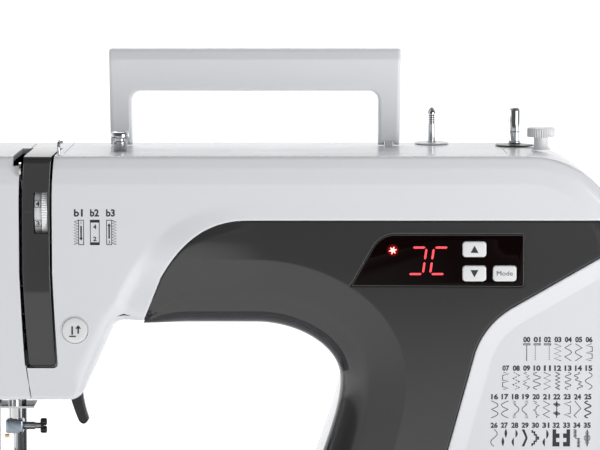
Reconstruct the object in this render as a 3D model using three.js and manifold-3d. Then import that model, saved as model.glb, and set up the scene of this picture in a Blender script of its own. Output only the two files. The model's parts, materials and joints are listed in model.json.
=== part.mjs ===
// Computerised free-arm sewing machine with its carry handle raised, as separate pieces.
// Millimetres. X runs from the head (left) to the handwheel (right), -Y is the operator's side,
// +Z is up. The origin is on the table, below the middle of the machine.
import * as THREE from 'three';
import { mergeVertices } from 'three/addons/utils/BufferGeometryUtils.js';
import Module from 'manifold-3d';

const wasm = await Module();
wasm.setup();

// ---- driving dimensions ----
const GAP = 0.3;            // between two pieces that touch
const WALL = 2.8;           // casing wall
const FRONT_WALL = 4.5;     // front wall, which also holds the inlaid panel
const FRONT = -52;          // front face of the head, arm and column
const REAR = 50;
const LEFT = -189;          // left end of the head
const RIGHT = 171;          // right end of the column
const TOP = 266;
const ARM_UNDERSIDE = 183.4;
const HEAD_BOTTOM = 144.5;
const BED = 77;             // top of the free arm
const TABLE_TOP = 75;       // top of the accessory box round the free arm
const CORNER = 50;          // radius of the top right corner
const EDGE = 5;             // rounding of the casing's front and rear edges
const NEEDLE_X = -138.5;
const SEAM_X = -130.8;      // right edge of the face cover
const STRIP_LEFT = -129.2;  // tension strip, with a slot on each side
const STRIP_RIGHT = -115.9;
const STRIP_BOTTOM = 160.8;
const SLOT_RIGHT = -114.3;
const PANEL_TOP = 234.1;
const SHAFT_Z = 222;        // upper shaft
const LOWER = { y: -3.5, z: 46 };
const STROKE = 31;          // needle bar
const HANDLE = { pivotY: 24, pivotZ: 274, depth: 15, top: 316.6 };
const HOOK = { y: -17.5, radius: 14.5 };
const TENSION = { y: -38.2, z: 237.8, radius: 14 };
const MOTOR = { y: -18, z: 125, radius: 22.5 };
const BASE = { front: -80, rear: 80, left: 3.5, bottom: 8.3 };
const ARM_SHELL = { left: -180, front: -36, rear: 40, bottom: 30 };
const PARTING = 6;          // joint between the front and the rear shell
const STRIP_REAR = 3;       // rear end of the tension strip, on top
const TOP_OPENING = { x0: -110, x1: 112, y0: -32, y1: 42 };
const HANDLE_LUGS = [-84, 54.2];
const DISPLAY = { left: 33.8, right: 119.4, bottom: 201.2, top: 227 };
const BUTTONS = {           // left, bottom, right, top
  up_button: [88.8, 216.1, 100.6, 223.9],
  down_button: [88.8, 204, 100.6, 211.9],
  mode_button: [103.9, 204, 115.6, 211.9],
};
const REVERSE = { x: -103.5, z: 179.4, radius: 6.3 };
const PRESSER = { x: NEEDLE_X + 2, y: 13 };
const CLAMP = { bottom: 119.7, top: 127 };
const TAKE_UP = { y: -10, z: 236 };
const WINDER = { x: 119.3, y: 20 };
const SPOOL = { x: 77, y: 35 };

const COLOURS = {
  white: [0xdfe1e5, 0.28, 0], pale: [0xe9eaec, 0.35, 0], dark: [0x3f4143, 0.2, 0],
  black: [0x0d0c0c, 0.25, 0], rubber: [0x1c1c1d, 0.85, 0], chrome: [0xd5d8da, 0.12, 1],
  steel: [0x9da0a3, 0.35, 1], cast: [0x8d9093, 0.6, 0.9], plate: [0x3b3d40, 0.5, 0.6],
  board: [0x1f5a36, 0.6, 0], clear: [0xbfd0d6, 0.1, 0],
};

const machine = new THREE.Group();

// ---- solids ----
function solid(geometry) {
  const bare = geometry.index ? geometry : geometry.clone();
  bare.deleteAttribute('normal');
  bare.deleteAttribute('uv');
  const merged = mergeVertices(bare, 1e-4);
  return new wasm.Manifold(new wasm.Mesh({
    numProp: 3,
    vertProperties: new Float32Array(merged.attributes.position.array),
    triVerts: new Uint32Array(merged.index.array),
  }));
}

function add(name, body, finish) {
  const mesh = body.getMesh();
  const geometry = new THREE.BufferGeometry();
  geometry.setAttribute('position', new THREE.BufferAttribute(mesh.vertProperties, 3));
  geometry.setIndex(new THREE.BufferAttribute(mesh.triVerts, 1));
  geometry.computeVertexNormals();
  const [color, roughness, metalness] = COLOURS[finish];
  const piece = new THREE.Mesh(geometry, new THREE.MeshStandardMaterial({ color, roughness, metalness }));
  piece.name = name;
  machine.add(piece);
}

function block(x0, x1, y0, y1, z0, z1) {
  const box = new THREE.BoxGeometry(x1 - x0, y1 - y0, z1 - z0);
  return solid(box.translate((x0 + x1) / 2, (y0 + y1) / 2, (z0 + z1) / 2));
}

// An outline drawn in one plane and extruded along the axis across it.
function extruded(outline, axis, from, to, { edge = 0, steps = 3, curve = 6 } = {}) {
  const geometry = new THREE.ExtrudeGeometry(outline, {
    depth: to - from - 2 * edge, curveSegments: curve, bevelEnabled: edge > 0,
    bevelThickness: edge, bevelSize: edge, bevelOffset: -edge, bevelSegments: steps,
  });
  geometry.translate(0, 0, edge);
  if (axis === 'y') {
    geometry.rotateX(Math.PI / 2).translate(0, to, 0);
  } else if (axis === 'x') {
    const turn = new THREE.Matrix4().makeBasis(
      new THREE.Vector3(0, 1, 0), new THREE.Vector3(0, 0, 1), new THREE.Vector3(1, 0, 0));
    geometry.applyMatrix4(turn).translate(from, 0, 0);
  } else {
    geometry.translate(0, 0, from);
  }
  return solid(geometry);
}

// The outline moved inwards by a distance, corner by corner.
function shrunk(outline, distance, curve = 6) {
  let points = outline.getPoints(curve);
  if (points[0].distanceTo(points.at(-1)) < 1e-6) points.pop();
  if (THREE.ShapeUtils.isClockWise(points)) points = points.reverse();
  const moved = points.map((point, i) => {
    const before = point.clone().sub(points.at(i - 1)).normalize();
    const after = points[(i + 1) % points.length].clone().sub(point).normalize();
    const inward = new THREE.Vector2(-before.y - after.y, before.x + after.x);
    return point.clone().addScaledVector(inward, distance / (1 + before.dot(after)));
  });
  return new THREE.Shape(moved);
}

// A profile of [radius, height] pairs turned round an axis through (x, y, z).
function turned(profile, axis, at, segments = 18) {
  const points = profile.map(([radius, height]) => new THREE.Vector2(radius, height));
  const geometry = new THREE.LatheGeometry(points, segments);
  if (axis === 'z') geometry.rotateX(Math.PI / 2);
  if (axis === 'x') geometry.rotateZ(-Math.PI / 2);
  return solid(geometry.translate(...at));
}

function rod(radius, axis, at, length, segments = 14) {
  return turned([[0, 0], [radius, 0], [radius, length], [0, length]], axis, at, segments);
}

function wire(radius, points, steps, sides = 8) {
  const section = new THREE.Shape().absarc(0, 0, radius, 0, 2 * Math.PI);
  const path = new THREE.CatmullRomCurve3(points.map((p) => new THREE.Vector3(...p)));
  return solid(new THREE.ExtrudeGeometry(section, { steps, curveSegments: sides / 2, extrudePath: path }));
}

function roundedBox(x0, z0, x1, z1, radius) {
  const shape = new THREE.Shape();
  shape.moveTo(x0 + radius, z0);
  shape.lineTo(x1 - radius, z0);
  shape.absarc(x1 - radius, z0 + radius, radius, -Math.PI / 2, 0);
  shape.lineTo(x1, z1 - radius);
  shape.absarc(x1 - radius, z1 - radius, radius, 0, Math.PI / 2);
  shape.lineTo(x0 + radius, z1);
  shape.absarc(x0 + radius, z1 - radius, radius, Math.PI / 2, Math.PI);
  shape.lineTo(x0, z0 + radius);
  shape.absarc(x0 + radius, z0 + radius, radius, Math.PI, 1.5 * Math.PI);
  return shape;
}

// The outline of a belt round two pulleys: a stadium whose ends have different radii.
function beltOutline(a, b, radiusA, radiusB) {
  const reach = Math.hypot(b[0] - a[0], b[1] - a[1]);
  const along = Math.atan2(b[1] - a[1], b[0] - a[0]);
  const open = Math.acos((radiusA - radiusB) / reach);
  const shape = new THREE.Shape();
  shape.absarc(a[0], a[1], radiusA, along + open, along - open + 2 * Math.PI);
  shape.absarc(b[0], b[1], radiusB, along - open, along + open);
  return shape;
}

function belt(a, b, radiusA, radiusB, thickness, x0, x1) {
  const outside = extruded(
    beltOutline(a, b, radiusA + thickness, radiusB + thickness), 'x', x0, x1, { curve: 8 });
  return outside.subtract(extruded(beltOutline(a, b, radiusA, radiusB), 'x', x0 - 1, x1 + 1, { curve: 8 }));
}

// ---- casing of head, arm and column ----
// The front view of the casing: head on the left, arm above the harp space, column on the right.
function casingOutline() {
  const shape = new THREE.Shape();
  shape.moveTo(LEFT + 8, HEAD_BOTTOM);
  shape.lineTo(-106, HEAD_BOTTOM);
  shape.quadraticCurveTo(-101.3, HEAD_BOTTOM, -99.2, 149);
  shape.lineTo(-85.6, 179.2);
  shape.quadraticCurveTo(-83.7, ARM_UNDERSIDE, -79, ARM_UNDERSIDE);
  shape.lineTo(-14, ARM_UNDERSIDE);
  shape.bezierCurveTo(9, ARM_UNDERSIDE, 30.1, 170, 30.1, 153.8);
  shape.bezierCurveTo(30.1, 137, 22, 120, 15.5, 99);
  shape.lineTo(9.5, BED + GAP);
  shape.lineTo(RIGHT, BED + GAP);
  shape.lineTo(RIGHT, TOP - CORNER);
  shape.absarc(RIGHT - CORNER, TOP - CORNER, CORNER, 0, Math.PI / 2);
  shape.lineTo(LEFT + 20, TOP);
  shape.absarc(LEFT + 20, TOP - 20, 20, Math.PI / 2, Math.PI);
  shape.lineTo(LEFT, HEAD_BOTTOM + 8);
  shape.quadraticCurveTo(LEFT, HEAD_BOTTOM, LEFT + 8, HEAD_BOTTOM);
  return shape;
}

// The dark panel: over the arch, along the arm to the right end, and down the column.
function panelOutline() {
  const shape = new THREE.Shape();
  shape.moveTo(-70.2, ARM_UNDERSIDE - 1);
  shape.lineTo(-60.8, 205.5);
  shape.bezierCurveTo(-52, 221, -40, PANEL_TOP, -18, PANEL_TOP);
  shape.lineTo(165, PANEL_TOP);
  shape.lineTo(165, 220);
  shape.lineTo(113, 190.1);
  shape.quadraticCurveTo(100, 182, 95.4, 168.1);
  shape.lineTo(73, 86);
  shape.lineTo(15, 86);
  shape.bezierCurveTo(22, 112, 32.5, 135, 31.5, 153);
  shape.bezierCurveTo(31, 168, 12, ARM_UNDERSIDE - 1, -14, ARM_UNDERSIDE - 1);
  return shape;
}

// The strip over the thread path, whose lower end leans to the right.
function stripOutline(left, right, bottom, top) {
  const lean = 2.5;
  const shape = new THREE.Shape();
  shape.moveTo(left + lean + 1.5, bottom);
  shape.lineTo(right + lean - 1.5, bottom);
  shape.quadraticCurveTo(right + lean, bottom, right + lean, bottom + 1.5);
  shape.quadraticCurveTo(right + lean * 0.6, 180, right, 203);
  shape.lineTo(right, top);
  shape.lineTo(left, top);
  shape.lineTo(left, 203);
  shape.quadraticCurveTo(left + lean * 0.6, 180, left + lean, bottom + 1.5);
  shape.quadraticCurveTo(left + lean, bottom, left + lean + 1.5, bottom);
  return shape;
}

function faceRegion(edge) {
  const shape = new THREE.Shape();
  shape.moveTo(LEFT - 20, HEAD_BOTTOM - 20);
  shape.lineTo(edge + 4.9, HEAD_BOTTOM - 20);
  shape.lineTo(edge + 4.9, STRIP_BOTTOM);
  shape.quadraticCurveTo(edge + 1.5, 180, edge, 203);
  shape.lineTo(edge, TOP + 20);
  shape.lineTo(LEFT - 20, TOP + 20);
  return extruded(shape, 'y', FRONT - 20, REAR + 20);
}

function displayOutline() {
  const shape = new THREE.Shape();
  shape.moveTo(DISPLAY.left, DISPLAY.bottom + 0.5);
  shape.lineTo(DISPLAY.right - 1.5, DISPLAY.bottom);
  shape.quadraticCurveTo(DISPLAY.right, DISPLAY.bottom, DISPLAY.right, DISPLAY.bottom + 1.5);
  shape.lineTo(DISPLAY.right, DISPLAY.top - 1.5);
  shape.quadraticCurveTo(DISPLAY.right, DISPLAY.top, DISPLAY.right - 1.5, DISPLAY.top);
  shape.lineTo(55.3, DISPLAY.top);
  shape.quadraticCurveTo(48.6, DISPLAY.top, 44.4, 220.3);
  return shape;
}

const outer = extruded(casingOutline(), 'y', FRONT, REAR, { edge: EDGE });
const inner = extruded(shrunk(casingOutline(), WALL), 'y', FRONT + FRONT_WALL, REAR - WALL);
const hollow = outer.subtract(inner);

const headOpening = block(-160, -114, -22, 34, HEAD_BOTTOM - 5, HEAD_BOTTOM + 6);
const columnOpening = block(40, 165, FRONT + 12, REAR - 10, BED - 5, BED + 6);
const topHole = block(
  TOP_OPENING.x0, TOP_OPENING.x1, TOP_OPENING.y0, TOP_OPENING.y1, TOP - 10, TOP + 5);
const shaftHole = rod(9.8, 'x', [RIGHT - 12, 0, SHAFT_Z], 30);

function stripSlot(left) {
  return extruded(stripOutline(left, SLOT_RIGHT, STRIP_BOTTOM - 1, TOP + 10), 'y', FRONT - 5, PARTING);
}

const takeUpNotch = block(SEAM_X - 3.4, SEAM_X + 1, FRONT - 5, PARTING - 2, TOP - 5, TOP + 5);

const casing = hollow.subtract(headOpening).subtract(columnOpening).subtract(topHole).subtract(shaftHole);
const body = casing.subtract(faceRegion(SEAM_X)).subtract(stripSlot(SEAM_X - 1));

function addCasing() {
  const panelPocket = extruded(panelOutline(), 'y', FRONT - 5, FRONT + 2 + GAP);
  let front = body.intersect(block(LEFT - 9, RIGHT + 9, FRONT - 9, PARTING - GAP / 2, 0, TOP + 9));
  front = front.subtract(panelPocket);
  front = front.subtract(block(60, 118, FRONT - 5, FRONT + 9, 203, 225));
  front = front.subtract(rod(REVERSE.radius + GAP, 'y', [REVERSE.x, FRONT - 5, REVERSE.z], 12));
  add('front_shell', front, 'white');

  const rear = body.intersect(block(LEFT - 9, RIGHT + 9, PARTING + GAP / 2, REAR + 9, 0, TOP + 9));
  const lifterSlot = block(-114, -85, 10, 20, HEAD_BOTTOM - 5, 168);
  add('rear_shell', rear.subtract(lifterSlot), 'white');

  const slotted = casing.intersect(faceRegion(SEAM_X - GAP)).subtract(stripSlot(SEAM_X + 0.01));
  const face = slotted.subtract(takeUpNotch);
  add('face_cover', face, 'white');

  const panel = outer.intersect(extruded(shrunk(panelOutline(), GAP), 'y', FRONT - 5, FRONT + 2));
  const displayHole = extruded(displayOutline(), 'y', FRONT - 5, FRONT + 5);
  add('front_panel', panel.subtract(displayHole), 'dark');

  const t = TOP_OPENING;
  let cover = block(t.x0 + GAP, t.x1 - GAP, t.y0 + GAP, t.y1 - GAP, TOP - WALL, TOP);
  for (const x of HANDLE_LUGS) {
    const lug = new THREE.Shape();
    lug.moveTo(HANDLE.pivotY - 5, TOP - 1);
    lug.lineTo(HANDLE.pivotY + 5, TOP - 1);
    lug.lineTo(HANDLE.pivotY + 5, HANDLE.pivotZ);
    lug.absarc(HANDLE.pivotY, HANDLE.pivotZ, 5, 0, Math.PI);
    cover = cover.add(extruded(lug, 'x', x - 2, x + 2));
  }
  cover = cover.subtract(rod(2.1 + GAP, 'z', [SPOOL.x, SPOOL.y, TOP - 10], 20));
  add('top_cover', cover, 'white');
}

function addTensionStrip() {
  const lining = extruded(shrunk(casingOutline(), 2.5), 'y', FRONT + 2.5, REAR);
  const region = extruded(
    stripOutline(STRIP_LEFT, STRIP_RIGHT, STRIP_BOTTOM, TOP + 10), 'y', FRONT - 5, STRIP_REAR);
  const window = block(-123.8, -116.8, FRONT - 5, -30, TENSION.z - 10.3, TENSION.z + 10.3);
  add('tension_strip', outer.subtract(lining).intersect(region).subtract(window), 'dark');

  const dial = [[0, 0], [12.7, 0], [12.7, 4], [TENSION.radius, 4], [TENSION.radius, 6.2], [0, 6.2]];
  add('tension_dial', turned(dial, 'x', [-123.4, TENSION.y, TENSION.z], 28), 'pale');
}

// ---- base, free arm and accessory box ----
function addBase() {
  const b = BASE;
  const whole = extruded(roundedBox(b.left, b.front, RIGHT, b.rear, 8), 'z', b.bottom, BED);
  let shell = whole.subtract(
    block(b.left + WALL, RIGHT - WALL, b.front + WALL, b.rear - WALL, 0, BED - WALL));
  shell = shell.subtract(block(40, 165, FRONT + 12, REAR - 10, BED - 9, BED + 9));
  shell = shell.subtract(block(b.left - 5, b.left + 9, -33, 37, 33, BED - WALL));
  shell = shell.subtract(block(RIGHT - 9, RIGHT + 9, 23.7, 54.3, 26.7, 57.3));
  shell = shell.subtract(block(RIGHT - 9, RIGHT + 9, -43.3, -24.7, 28.7, 55.3));
  add('base_shell', shell, 'white');

  const plate = block(BASE.left, 168, -77, 77, 4, 8).add(block(-178, 10, -32, 36, 4, 8));
  add('base_plate', plate, 'plate');

  const feet = {
    front_left: [-165, -22], rear_left: [-165, 26], front_right: [155, -64], rear_right: [155, 64],
  };
  for (const [place, [x, y]] of Object.entries(feet)) {
    const profile = [[0, 0], [8, 0], [9, 1], [7.5, 3.7], [0, 3.7]];
    add(`foot_${place}`, turned(profile, 'z', [x, y, 0], 20), 'rubber');
  }

  const inlet = block(146, RIGHT, 24, 54, 27, 57).subtract(block(156, RIGHT + 5, 28, 50, 31, 53));
  add('power_inlet', inlet, 'black');
  const rocker = new THREE.Shape();
  rocker.moveTo(152, 31);
  rocker.lineTo(RIGHT + 2.2, 31);
  rocker.lineTo(RIGHT + 0.4, 42);
  rocker.lineTo(RIGHT + 1, 53);
  rocker.lineTo(152, 53);
  const switchBody = extruded(rocker, 'y', -42.6, -25.4);
  add('power_switch', switchBody.subtract(block(140, 166, -50, 0, 20, 37)).subtract(
    block(140, 166, -50, 0, 47, 60)), 'black');
}

function addFreeArm() {
  const a = ARM_SHELL;
  const whole = extruded(roundedBox(a.left, a.front, BASE.left - GAP, a.rear, 6), 'z', a.bottom, BED);
  let shell = whole.subtract(
    block(a.left + WALL, BASE.left + 5, a.front + WALL, a.rear - WALL, a.bottom + WALL, BED - WALL));
  shell = shell.subtract(block(-176.3, -99.7, -33.3, 37.3, BED - 2.1, BED + 5));
  shell = shell.subtract(block(-172, -104, -31, 34, BED - 9, BED + 5));
  shell = shell.subtract(block(-156.3, -120.7, a.front - 5, -30, BED - 2.1, BED + 5));
  add('free_arm_shell', shell, 'white');

  let plate = block(-176, -100, -33, 37, BED - 1.8, BED);
  plate = plate.subtract(block(-156.3, -120.7, -40, -5, BED - 5, BED + 5));
  plate = plate.subtract(block(NEEDLE_X - 3.5, NEEDLE_X + 3.5, -1, 1, BED - 5, BED + 5));
  for (const x of [NEEDLE_X - 7.5, NEEDLE_X + 7.5]) {
    plate = plate.subtract(block(x - 1.8, x + 1.8, -4.4, 14, BED - 5, BED + 5));
  }
  add('needle_plate', plate, 'steel');
  add('bobbin_cover', block(-156, -121, a.front, -5.3, BED - 1.7, BED), 'clear');

  const feedTop = BED - 0.4;
  let feed = block(NEEDLE_X - 8.7, NEEDLE_X + 8.7, 6, 12, 67.5, 70.5);
  for (const x of [NEEDLE_X - 7.5, NEEDLE_X + 7.5]) {
    feed = feed.add(block(x - 1.2, x + 1.2, -2.5, 12, 67.5, feedTop - 1));
    for (let tooth = 0; tooth < 8; tooth += 1) {
      const y = -2.2 + tooth * 1.8;
      feed = feed.add(block(x - 1.2, x + 1.2, y, y + 0.9, feedTop - 1.5, feedTop));
    }
  }
  add('feed_dog', feed, 'steel');
}

function addAccessoryBox() {
  const a = ARM_SHELL;
  const whole = extruded(
    roundedBox(-195, BASE.front, BASE.left - GAP - 0.2, BASE.rear, 8), 'z', 4, TABLE_TOP);
  let box = whole.subtract(block(a.left - 1.5, BASE.left + 5, a.front - 1.5, a.rear + 1.5, 0, BED + 5));
  box = box.subtract(block(-191, -2, -76.5, -41, 8, TABLE_TOP + 5));
  box = box.subtract(block(-191, -2, 45, 76.5, 0, TABLE_TOP - WALL));
  add('accessory_box', box, 'white');
  let lid = block(-190.6, -2.4, -76.1, -41.4, TABLE_TOP - 2.5, TABLE_TOP);
  lid = lid.subtract(block(-107, -87, -44, -40, TABLE_TOP - 9, TABLE_TOP + 9));
  add('accessory_lid', lid, 'white');
}

// ---- frame and drive ----
function addFrame() {
  const web = new THREE.Shape();
  web.moveTo(-150, 190);
  web.lineTo(-128, 150);
  web.lineTo(-112, 150);
  web.lineTo(-104, 194);
  web.lineTo(50, 194);
  web.lineTo(56, 182);
  web.lineTo(62, 62);
  web.lineTo(56, 56);
  web.lineTo(-168, 56);
  web.lineTo(-168, 38);
  web.lineTo(126, 38);
  web.lineTo(126, 248);
  web.lineTo(-150, 248);
  let frame = extruded(web, 'y', 22, 28);
  for (const x of [-100, 20, 112]) {
    const lug = block(x, x + 12, -9, 28, SHAFT_Z - 11, SHAFT_Z + 11);
    frame = frame.add(lug.subtract(rod(5 + GAP, 'x', [x - 1, 0, SHAFT_Z], 14)));
  }
  for (const x of [-165, -60, 112]) {
    const lug = block(x, x + 10, -10, 28, LOWER.z - 8, LOWER.z + 9);
    frame = frame.add(lug.subtract(rod(4 + GAP, 'x', [x - 1, LOWER.y, LOWER.z], 12)));
  }
  let guide = block(-146, -128, -7, 28, 150, 163.5);
  guide = guide.subtract(rod(3.5 + GAP, 'z', [NEEDLE_X, 0, 149], 16));
  guide = guide.subtract(rod(3 + GAP, 'z', [NEEDLE_X + 2, 13, 149], 16));
  frame = frame.add(guide);
  for (const x of [-40, 80]) {
    frame = frame.add(block(x, x + 6, 22, 35, 196, 246));
  }
  add('frame', frame, 'cast');
}

function addDrive() {
  add('upper_shaft', rod(5, 'x', [-120, 0, SHAFT_Z], 292), 'steel');

  const crankRadius = 19;
  const crank = [[5 + GAP, 0], [10, 0], [10, 3], [crankRadius, 3], [crankRadius, 9], [5 + GAP, 9],
    [5 + GAP, 0]];
  const crankAt = [-128.6, 0, SHAFT_Z];
  const pinHole = rod(2.6, 'x', [-130, 0, SHAFT_Z + STROKE / 2], 14);
  const crankFace = rod(crankRadius, 'x', crankAt, 1.2);
  const disc = turned(crank, 'x', [-127.8, 0, SHAFT_Z], 20).add(crankFace).subtract(pinHole);
  add('needle_crank', disc.subtract(rod(5 + GAP, 'x', [-121, 0, SHAFT_Z], 5)), 'steel');

  const pulley = [[5 + GAP, 0], [24, 0], [26, 1], [26, 9], [24, 10], [9, 10], [9, 15], [12, 15], [12, 24],
    [5 + GAP, 24], [5 + GAP, 0]];
  add('drive_pulley', turned(pulley, 'x', [132, 0, SHAFT_Z], 24), 'pale');

  const wheel = [[5 + GAP, 0], [9, 0], [9, 9], [30, 9], [34.5, 8], [36, 10], [36, 24], [33, 29], [24, 30.5],
    [20, 30], [14, 28], [0, 28], [0, 9], [5 + GAP, 9], [5 + GAP, 0]];
  add('handwheel', turned(wheel, 'x', [164.5, 0, SHAFT_Z], 28), 'white');

  const axle = rod(4, 'x', [-164, LOWER.y, LOWER.z], 321);
  const gear = rod(9, 'x', [NEEDLE_X - 4.5, LOWER.y, LOWER.z], 9);
  add('lower_shaft', axle.add(gear), 'steel');
  const lowerPulley = [[4 + GAP, 0], [12, 0], [12, 9], [4 + GAP, 9], [4 + GAP, 0]];
  add('lower_pulley', turned(lowerPulley, 'x', [147, LOWER.y, LOWER.z], 20), 'pale');
  add('timing_belt', belt([0, SHAFT_Z], [LOWER.y, LOWER.z], 12 + GAP, 12 + GAP, 1.8, 148, 155), 'rubber');

  const motorCan = [[0, 0], [12, 0], [12, 3], [MOTOR.radius, 3], [MOTOR.radius, 55], [14, 55], [14, 58],
    [0, 58]];
  add('motor', turned(motorCan, 'x', [68, MOTOR.y, MOTOR.z], 20), 'steel');
  const motorPulley = [[0, 0], [2, 0], [2, 4], [7, 4], [7, 5], [6, 6], [6, 13], [7, 14], [7, 15], [0, 15]];
  add('motor_pulley', turned(motorPulley, 'x', [126.6, MOTOR.y, MOTOR.z], 16), 'steel');
  const drive = belt([0, SHAFT_Z], [MOTOR.y, MOTOR.z], 26 + GAP, 6 + GAP + 0.1, 1.8, 133.2, 139);
  add('motor_belt', drive, 'rubber');

  const cup = [[0, -16], [3, -16], [3, -15.5], [4.5, -15.5], [4.5, -5.5], [3, -5.5], [3, 0], [HOOK.radius, 0],
    [HOOK.radius, 10.5], [11.6, 10.5], [11.6, 2], [0, 2]];
  add('hook', turned(cup, 'z', [NEEDLE_X, HOOK.y, 56.5], 20), 'steel');
  const bobbin = [[3, 0], [10.4, 0], [10.4, 1], [5, 1], [5, 7.5], [10.4, 7.5], [10.4, 8.5], [3, 8.5], [3, 0]];
  add('bobbin', turned(bobbin, 'z', [NEEDLE_X, HOOK.y, 58.9], 18), 'clear');

  add('control_board', block(62, 152, FRONT + 6.4, FRONT + 8, 100, 226), 'board');
}

// ---- needle, presser foot and take-up lever ----
function addNeedleBar() {
  const bar = rod(3.5, 'z', [NEEDLE_X, 0, CLAMP.bottom + 2], 128);
  const collar = block(NEEDLE_X - 5, NEEDLE_X + 3.8, -5, 5, 196, 206);
  add('needle_bar', bar.add(collar), 'chrome');

  const clampBlock = block(NEEDLE_X - 4.6, NEEDLE_X + 4.6, -5, 4.6, CLAMP.bottom, CLAMP.top);
  const barHole = rod(3.5 + GAP, 'z', [NEEDLE_X, 0, CLAMP.bottom + 1.7], 20);
  const shankHole = rod(1.4, 'z', [NEEDLE_X, 0, CLAMP.bottom - 5], 20);
  const screwHole = rod(2.3, 'x', [NEEDLE_X + 2, -1, 123.3], 10);
  add('needle_clamp', clampBlock.subtract(barHole).subtract(shankHole).subtract(screwHole), 'steel');

  const tip = CLAMP.bottom - 31;
  const needle = [[0, 0], [0.45, 3], [0.5, 20], [1.1, 23], [1.1, 32.4], [0, 32.4]];
  add('needle', turned(needle, 'z', [NEEDLE_X, 0, tip], 12), 'chrome');

  const shank = [[0, 0], [2, 0], [2, 6.6], [1.4, 7], [1.4, 9.6], [0, 9.6]];
  const knob = roundedBox(-2.2, -3.8, 2.2, 3.8, 2.1);
  const thumb = extruded(knob, 'x', 8.9, 12.2, { edge: 0.5, steps: 1, curve: 4 });
  const lobes = thumb.translate([NEEDLE_X + 4.4, -1, 123.3]);
  add('clamp_screw', turned(shank, 'x', [NEEDLE_X + 4, -1, 123.3], 12).add(lobes), 'black');

  const link = new THREE.Shape();
  const pinZ = SHAFT_Z + STROKE / 2;
  link.absarc(0, 201, 4.5, -Math.PI, 0);
  link.lineTo(4.5, pinZ);
  link.absarc(0, pinZ, 4.5, 0, Math.PI);
  const linkX = NEEDLE_X + 4.3;
  const pin = rod(2, 'x', [linkX + 0.5, 0, pinZ], 2.9, 12);
  add('crank_link', extruded(link, 'x', linkX, linkX + 3).add(pin), 'steel');

  const eye = rod(1.3, 'x', [-134, -50.9, 259.6], 9, 12);
  const plate = extruded(takeUpOutline(), 'x', SEAM_X + GAP, SEAM_X + GAP + 1);
  add('take_up_lever', plate.subtract(eye), 'chrome');
}

function takeUpOutline() {
  const shape = new THREE.Shape();
  shape.moveTo(TAKE_UP.y + 5, TAKE_UP.z - 1);
  shape.absarc(TAKE_UP.y, TAKE_UP.z, 5, 0, -0.6 * Math.PI, true);
  shape.lineTo(-49.5, 256.2);
  shape.absarc(-50.9, 259.6, 3.6, -0.35 * Math.PI, 0.6 * Math.PI, true);
  shape.lineTo(TAKE_UP.y, TAKE_UP.z + 5);
  shape.absarc(TAKE_UP.y, TAKE_UP.z, 5, 0.5 * Math.PI, 0, true);
  return shape;
}

function addPresser() {
  const { x, y } = PRESSER;
  add('presser_bar', rod(3, 'z', [x, y, 92], 110), 'steel');

  const turns = 6;
  const coil = [];
  for (let step = 0; step <= turns * 8; step += 1) {
    const angle = (step / 8) * 2 * Math.PI;
    coil.push([x + 4.4 * Math.cos(angle), y + 4.4 * Math.sin(angle), 166 + (step / (turns * 8)) * 30]);
  }
  add('presser_spring', wire(0.6, coil, turns * 10, 4), 'steel');

  const holder = block(x - 5, x + 1, 7, y + 5, BED + 2.8, 98).subtract(rod(3 + GAP, 'z', [x, y, 91.7], 9));
  add('foot_holder', holder.subtract(rod(1 + GAP, 'x', [x - 9, 9, BED + 5], 18, 12)), 'steel');

  let sole = block(-146.5, -130.5, -14, 11, BED + 0.4, BED + 2.2);
  sole = sole.subtract(block(NEEDLE_X - 3.6, NEEDLE_X + 3.6, -4, 3, BED - 5, BED + 9));
  sole = sole.subtract(block(NEEDLE_X - 1, NEEDLE_X + 1, -20, -3, BED - 5, BED + 9));
  const ears = block(-146.5, -144, 6, 11, BED + 2, BED + 6.5).add(
    block(-133, -130.5, 6, 11, BED + 2, BED + 6.5));
  const bar = rod(1, 'x', [-145, 9, BED + 5], 13, 10);
  add('presser_foot', sole.add(ears).add(bar), 'chrome');

  const lever = new THREE.Shape();
  lever.moveTo(-113, 151);
  lever.lineTo(-110.4, 134);
  lever.quadraticCurveTo(-108.6, 128, -106.6, 123.4);
  lever.quadraticCurveTo(-103.6, 119.8, -101.3, 124.6);
  lever.quadraticCurveTo(-103.6, 131, -104.4, 138);
  lever.lineTo(-103.5, 156);
  lever.absarc(-109.5, 158, 6, 0, 0.9 * Math.PI, false);
  add('presser_lifter', extruded(lever, 'y', 12, 18, { edge: 1, steps: 1 }), 'black');
}

// ---- controls on the front, and the parts on top ----
function addControls() {
  let screen = extruded(shrunk(displayOutline(), GAP), 'y', FRONT - 0.2, FRONT + 1.6);
  for (const [name, [x0, z0, x1, z1]] of Object.entries(BUTTONS)) {
    const opening = roundedBox(x0 - GAP, z0 - GAP, x1 + GAP, z1 + GAP, 2);
    screen = screen.subtract(extruded(opening, 'y', FRONT - 5, FRONT + 5, { curve: 3 }));
    const key = extruded(
      roundedBox(x0, z0, x1, z1, 1.8), 'y', FRONT - 1.4, FRONT + 4.6, { edge: 0.7, steps: 1, curve: 3 });
    add(name, key, 'pale');
  }
  add('display_window', screen, 'black');

  const cap = [[0, 0], [4, 0], [4, 7], [REVERSE.radius, 7], [REVERSE.radius, 11.2], [5.6, 12], [0, 12]];
  add('reverse_button', turned(cap, 'y', [0, 0, 0], 22).rotate([180, 0, 0]).translate(
    [REVERSE.x, FRONT + 11, REVERSE.z]), 'pale');
}

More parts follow.
